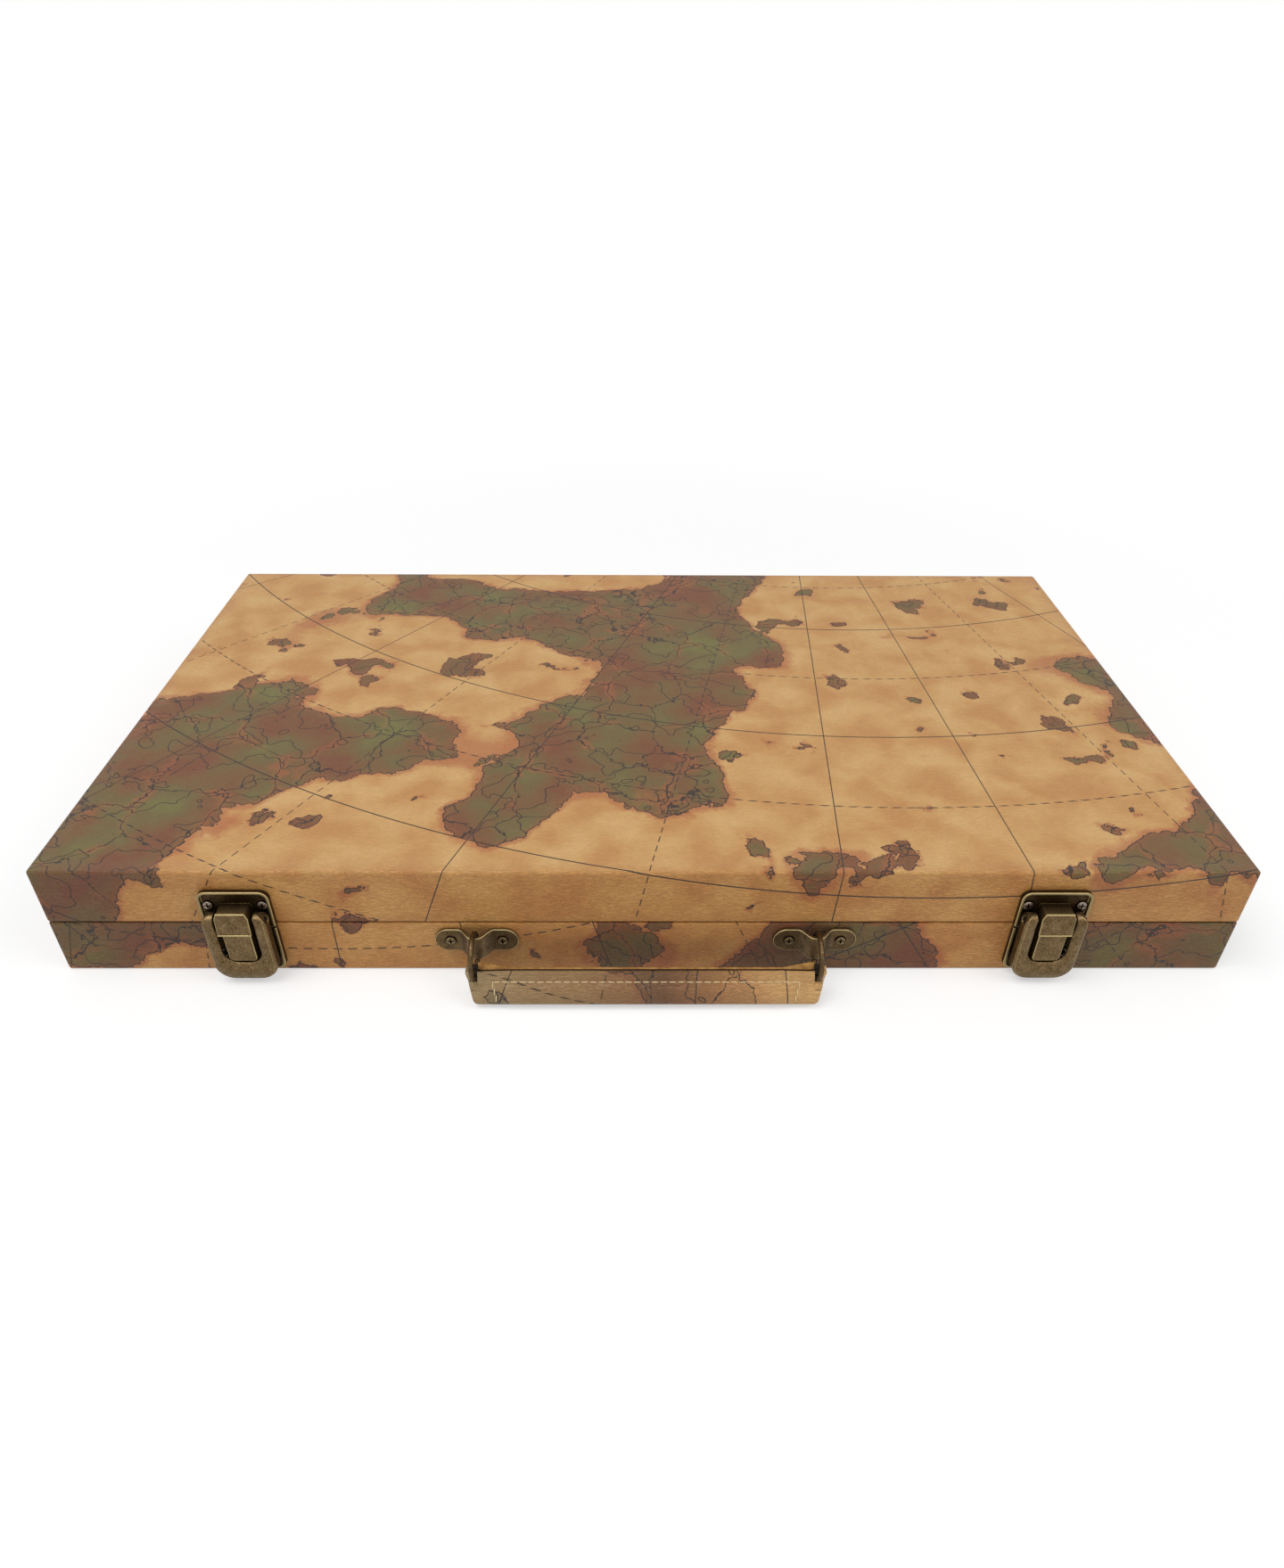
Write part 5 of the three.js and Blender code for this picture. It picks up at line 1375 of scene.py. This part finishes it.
# Waxed linen thread: pale, a little fuzzy, with its plies as fine slanting bands
thread, tree, shader = new_finish("waxed_thread", sheen_weight=0.2)
place = add(tree, "TexCoord")
plies = add(tree, "TexWave", {"Vector": (place, "Object"), "Scale": 1 / (0.5 * mm), "Distortion": 2.0},
            bands_direction="DIAGONAL")
tone = add(tree, "ValToRGB", {"Fac": plies}, stops=[(0.2, "#B79C6C"), (0.8, "#E2CFA2")])
feed(tree, shader, "Base Color", tone)
dull = add(tree, "MapRange", {"Value": plies, "To Min": 0.7, "To Max": 0.55})
feed(tree, shader, "Roughness", dull)
stitch_length = 2.5 * mm
stitch_pitch = 2.8 * mm
stitch_radius = 0.19 * mm
stitch_proud = 0.06 * mm
end_pitch = 2.2 * mm
stitch = bmesh.new()
bmesh.ops.create_icosphere(stitch, subdivisions=2, radius=1.0)
stitch.transform(Matrix.Diagonal((stitch_length / 2, stitch_radius, stitch_radius, 1)))
stitch = from_bmesh(stitch, "stitch")
stitch.data.shade_smooth()
places = []
turns = []
end_line = end_reach(sew_depth) - sew_inset
row_count = int(2 * end_line / stitch_pitch)
for side in (1, -1):
    for index in range(row_count + 1):
        x = -end_line + (index + 0.5) * 2 * end_line / (row_count + 1)
        thick = side * (half_thickness(x, sew_depth) + stitch_proud)
        places.append(handle_point(x, sew_depth, thick))
        turns.append((0, 0, 0))
    for end in (-1, 1):
        for index in range(3):
            depth = sew_depth + (index + 0.4) * end_pitch
            x = end * (end_reach(depth) - sew_inset)
            thick = side * (half_thickness(x, depth) + stitch_proud)
            places.append(handle_point(x, depth, thick))
            turns.append(down.to_track_quat("X", "Z").to_euler())
stitches = repeated("handle_stitches", stitch, places, turns, thread)
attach(stitches, "handle")


# Checkers
# Thirty turned resin discs in two colours, polished, with a shallow ring turned in each face.
# They stand on edge in the tray's trough.
def polished_resin(name, dark, light, roughness):
    """Cast resin with faint cloudy streaks, tumbled to a soft gloss."""
    finish, tree, shader = new_finish(name, coat_weight=0.25, coat_roughness=0.15)
    place = add(tree, "TexCoord")
    streaks = add(tree, "TexNoise",
                  {"Vector": (place, "Object"), "Scale": 1 / (7 * mm), "Detail": 4.0, "Distortion": 1.5})
    tone = add(tree, "ValToRGB", {"Fac": streaks}, stops=[(0.35, dark), (0.7, light)])
    feed(tree, shader, "Base Color", tone)
    gloss = add(tree, "MapRange", {"Value": streaks, "To Min": roughness, "To Max": roughness + 0.12})
    feed(tree, shader, "Roughness", gloss)
    return finish


light_resin = polished_resin("polished_cream_resin", "#D9C9A6", "#EFE5CC", 0.22)
dark_resin = polished_resin("polished_walnut_resin", "#2E160F", "#4A2618", 0.22)
checker_radius = 13.5 * mm
checker_pitch = 8 * mm
checker_half = 3.75 * mm
checkers_per_side = 15


def checker():
    """One checker with its axis along X, round-edged, with a ring turned in both faces."""
    half = [(0, 0.88), (0.5, 0.88), (0.56, 0.72), (0.64, 0.72), (0.7, 1.0), (0.9, 1.0), (0.97, 0.9),
            (1.0, 0.7)]
    profile = half + [(radius, -depth) for radius, depth in half[::-1]]
    rows = [(checker_half * depth, checker_radius * radius, checker_radius * radius)
            for radius, depth in profile]
    return from_bmesh(spun(rows, 48, lambda x, y, z: (x, y, z)), "checker")


for tone, finish, slot in (("light", light_resin, "resin_light"), ("dark", dark_resin, "resin_dark")):
    low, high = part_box(f"checkers_{tone}")
    middle = (low + high) / 2
    places = [(low.x + checker_half + index * checker_pitch, middle.y, middle.z)
              for index in range(checkers_per_side)]
    row = repeated(f"checkers_{tone}_turned", checker(), places, [(0, 0, 0)] * checkers_per_side, finish)
    smooth(row.data, 40)
    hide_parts(f"checkers_{tone}")
    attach(row, "tray")


# Dice and doubling cube
# Tumbled resin cubes with rounded corners. The dice have drilled and filled pips, and the cube
# has the numbers 2 to 64, one on each face.
def tumbled_cube(name, node, finish, rounding):
    """A cube with rounded edges in the place of a CAD cube; gives its middle and its half width."""
    low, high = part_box(node)
    cube = settled(from_bmesh(rounded_block(low, high, rounding, 5), name), name)
    smooth(cube.data, 60)
    cube.data.materials.append(finish)
    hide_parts(node)
    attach(cube, "tray")
    return (low + high) / 2, (high.x - low.x) / 2


pip_radius = 1.15 * mm
pip_offset = 3.0 * mm
pip_spots = {1: [(0, 0)], 2: [(-1, -1), (1, 1)], 3: [(-1, -1), (0, 0), (1, 1)],
             4: [(-1, -1), (-1, 1), (1, -1), (1, 1)], 5: [(-1, -1), (-1, 1), (0, 0), (1, -1), (1, 1)],
             6: [(-1, -1), (-1, 0), (-1, 1), (1, -1), (1, 0), (1, 1)]}
face_turns = [(1, (0, 0, 0)), (6, (math.pi, 0, 0)), (2, (math.pi / 2, 0, 0)), (5, (-math.pi / 2, 0, 0)),
              (3, (0, math.pi / 2, 0)), (4, (0, -math.pi / 2, 0))]
for tone, finish, other, slot in (("light", light_resin, dark_resin, "resin_light"),
                                  ("dark", dark_resin, light_resin, "resin_dark")):
    places = []
    turns = []
    for number in (1, 2):
        centre, reach = tumbled_cube(f"die_{tone}_{number}_tumbled", f"die_{tone}_{number}", finish,
                                     1.6 * mm)
        for value, turn in face_turns:
            pose = Matrix.Rotation(turn[1], 3, "Y") @ Matrix.Rotation(turn[0], 3, "X")
            for across, along in pip_spots[value]:
                spot = Vector((across * pip_offset, along * pip_offset, reach))
                places.append(centre + pose @ spot)
                turns.append(pose.to_euler())
    pip = bmesh.new()
    bmesh.ops.create_cone(pip, cap_ends=True, segments=20, radius1=pip_radius, radius2=pip_radius * 0.9,
                          depth=0.06 * mm)
    pips = repeated(f"dice_{tone}_pips", from_bmesh(pip, "pip"), places, turns, other)
    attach(pips, "tray")

centre, reach = tumbled_cube("doubling_cube_tumbled", "doubling_cube", light_resin, 1.4 * mm)
numbers = bmesh.new()
for (face, turn), number in zip(face_turns, (64, 2, 4, 8, 16, 32)):
    lettering = bpy.data.curves.new("number", "FONT")
    lettering.body = str(number)
    lettering.size = 8.5 * mm
    lettering.align_x = "CENTER"
    lettering.align_y = "CENTER"
    lettering.extrude = 0.04 * mm
    written = bpy.data.objects.new("number", lettering)
    bpy.context.scene.collection.objects.link(written)
    bpy.context.view_layer.update()
    mesh = bpy.data.meshes.new_from_object(written.evaluated_get(bpy.context.evaluated_depsgraph_get()))
    bpy.data.objects.remove(written)
    pose = Matrix.Rotation(turn[1], 4, "Y") @ Matrix.Rotation(turn[0], 4, "X")
    mesh.transform(Matrix.Translation(centre) @ pose @ Matrix.Translation((0, 0, reach)))
    numbers.from_mesh(mesh)
    bpy.data.meshes.remove(mesh)
figures = settled(from_bmesh(numbers, "doubling_cube_numbers"), "doubling_cube_numbers")
figures.data.materials.clear()
figures.data.materials.append(dark_resin)
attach(figures, "tray")


# Dice cups
# Two slim oval cups of brown hide over a stiff core, lined with felt, with rolled lips.
cup_sides = 96


def oval_cup(name, node, wall, floor, finish, mouth):
    """An open oval cup lying on its side, its mouth towards mouth along X."""
    low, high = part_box(node)
    middle = (low + high) / 2
    half_length = (high.x - low.x) / 2
    across = (high.y - low.y) / 2
    tall = (high.z - low.z) / 2
    lip_round = wall / 2
    foot = [(0, 0), (0, 0.86), (0.3 * mm, 0.95), (1.2 * mm, 1.0)]
    profile = [(-half_length + x, across * share, tall * share) for x, share in foot]
    profile.append((half_length - lip_round * 1.2, across, tall))
    for step in range(7):
        turn = math.pi * step / 6
        draw = lip_round * (1 - math.cos(turn))
        profile.append((half_length - lip_round + lip_round * math.sin(turn), across - draw, tall - draw))
    profile.append((-half_length + floor + 1 * mm, across - wall, tall - wall))
    profile.append((-half_length + floor, across - wall - 1 * mm, tall - wall - 1 * mm))
    profile.append((-half_length + floor, 0, 0))
    shape = spun(profile, cup_sides, lambda x, y, z: (middle.x + mouth * x, middle.y + y, middle.z + z))
    cup = settled(from_bmesh(shape, name), name)
    smooth(cup.data, 50)
    cup.data.materials.append(finish)
    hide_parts(node)
    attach(cup, "tray")


for side, mouth in (("left", -1), ("right", 1)):
    oval_cup(f"dice_cup_{side}_hide", f"dice_cup_{side}", 2 * mm, 2.4 * mm, brown_hide, mouth)
    oval_cup(f"dice_cup_{side}_felt", f"dice_cup_{side}_lining", 0.8 * mm, 0.8 * mm, felt, mouth)


# Studio
# A plain white floor that runs out to white, two soft lamps above and a little in front, and a
# camera at the photograph's place.
floor_mesh = bpy.data.meshes.new("floor")
floor_reach = 6.0
shadow_from = 0.24
white_from = 0.42


def seen_rays(tree):
    """1 for what the camera sees straight, in a reflection or through glass, and 0 for the light."""
    rays = add(tree, "LightPath")
    seen = add(tree, "Math", {0: (rays, "Is Camera Ray"), 1: (rays, "Is Glossy Ray")},
               operation="MAXIMUM")
    return add(tree, "Math", {0: seen, 1: (rays, "Is Transmission Ray")}, operation="MAXIMUM")


floor_mesh.from_pydata([(-floor_reach, -floor_reach, 0), (floor_reach, -floor_reach, 0),
                        (floor_reach, floor_reach, 0), (-floor_reach, floor_reach, 0)], [], [(0, 1, 2, 3)])
floor = plain(floor_mesh, "floor")
white_paper, tree, shader = new_finish("white_paper", roughness=0.9, specular_ior_level=0.1)
place = add(tree, "TexCoord")
away = add(tree, "VectorMath", {0: (place, "Object")}, operation="LENGTH")
far = add(tree, "MapRange", {"Value": (away, "Value"), "From Min": shadow_from, "From Max": white_from,
          "To Min": 0.5, "To Max": 1.0})
shader.inputs["Base Color"].default_value = linear("#FBFBFB")
glow = add(tree, "Emission", {"Color": "#FFFFFF", "Strength": 1.0})
amount = add(tree, "Math", {0: seen_rays(tree), 1: far}, operation="MULTIPLY")
surface = add(tree, "MixShader", {0: amount, 1: shader, 2: glow})
tree.links.new(surface.outputs[0], tree.nodes["Material Output"].inputs["Surface"])
floor.data.materials.append(white_paper)

world = bpy.data.worlds.new("studio")
bpy.context.scene.world = world
world.use_nodes = True
tree = world.node_tree
fill = tree.nodes["Background"]
fill.inputs["Color"].default_value = linear("#FFFFFF")
fill.inputs["Strength"].default_value = 0.5
white = add(tree, "Background", {"Color": "#FFFFFF", "Strength": 1.0})
surround = add(tree, "MixShader", {0: seen_rays(tree), 1: fill, 2: white})
tree.links.new(surround.outputs[0], tree.nodes["World Output"].inputs["Surface"])


def soft_lamp(name, place, aim, size, power):
    """A square soft lamp that points at aim."""
    lamp = bpy.data.lights.new(name, "AREA")
    lamp.size = size
    lamp.energy = power
    holder = bpy.data.objects.new(name, lamp)
    bpy.context.scene.collection.objects.link(holder)
    holder.location = place
    holder.rotation_euler = (Vector(aim) - Vector(place)).to_track_quat("-Z", "Y").to_euler()


case_middle = (0, 0, 0)
key_watts = 9.0
fill_watts = 4.0
soft_lamp("key", (-0.45, -0.3, 1.2), case_middle, 0.8, key_watts)
soft_lamp("fill", (0.8, -0.35, 0.9), case_middle, 0.7, fill_watts)

photo_width = 1440
photo_height = 1759
focal_pixels = 1128.5
sensor = 36.0
camera_data = bpy.data.cameras.new("camera")
camera_data.sensor_width = sensor
camera_data.lens = sensor * focal_pixels / max(photo_width, photo_height)
camera_data.clip_start = 0.01
camera = bpy.data.objects.new("camera", camera_data)
bpy.context.scene.collection.objects.link(camera)
camera.location = (-4.259 * mm, -344.328 * mm, 244.422 * mm)
camera.rotation_euler = [math.radians(angle) for angle in (54.232, -0.366, -0.368)]
bpy.context.scene.camera = camera
bpy.context.scene.view_settings.view_transform = "Standard"
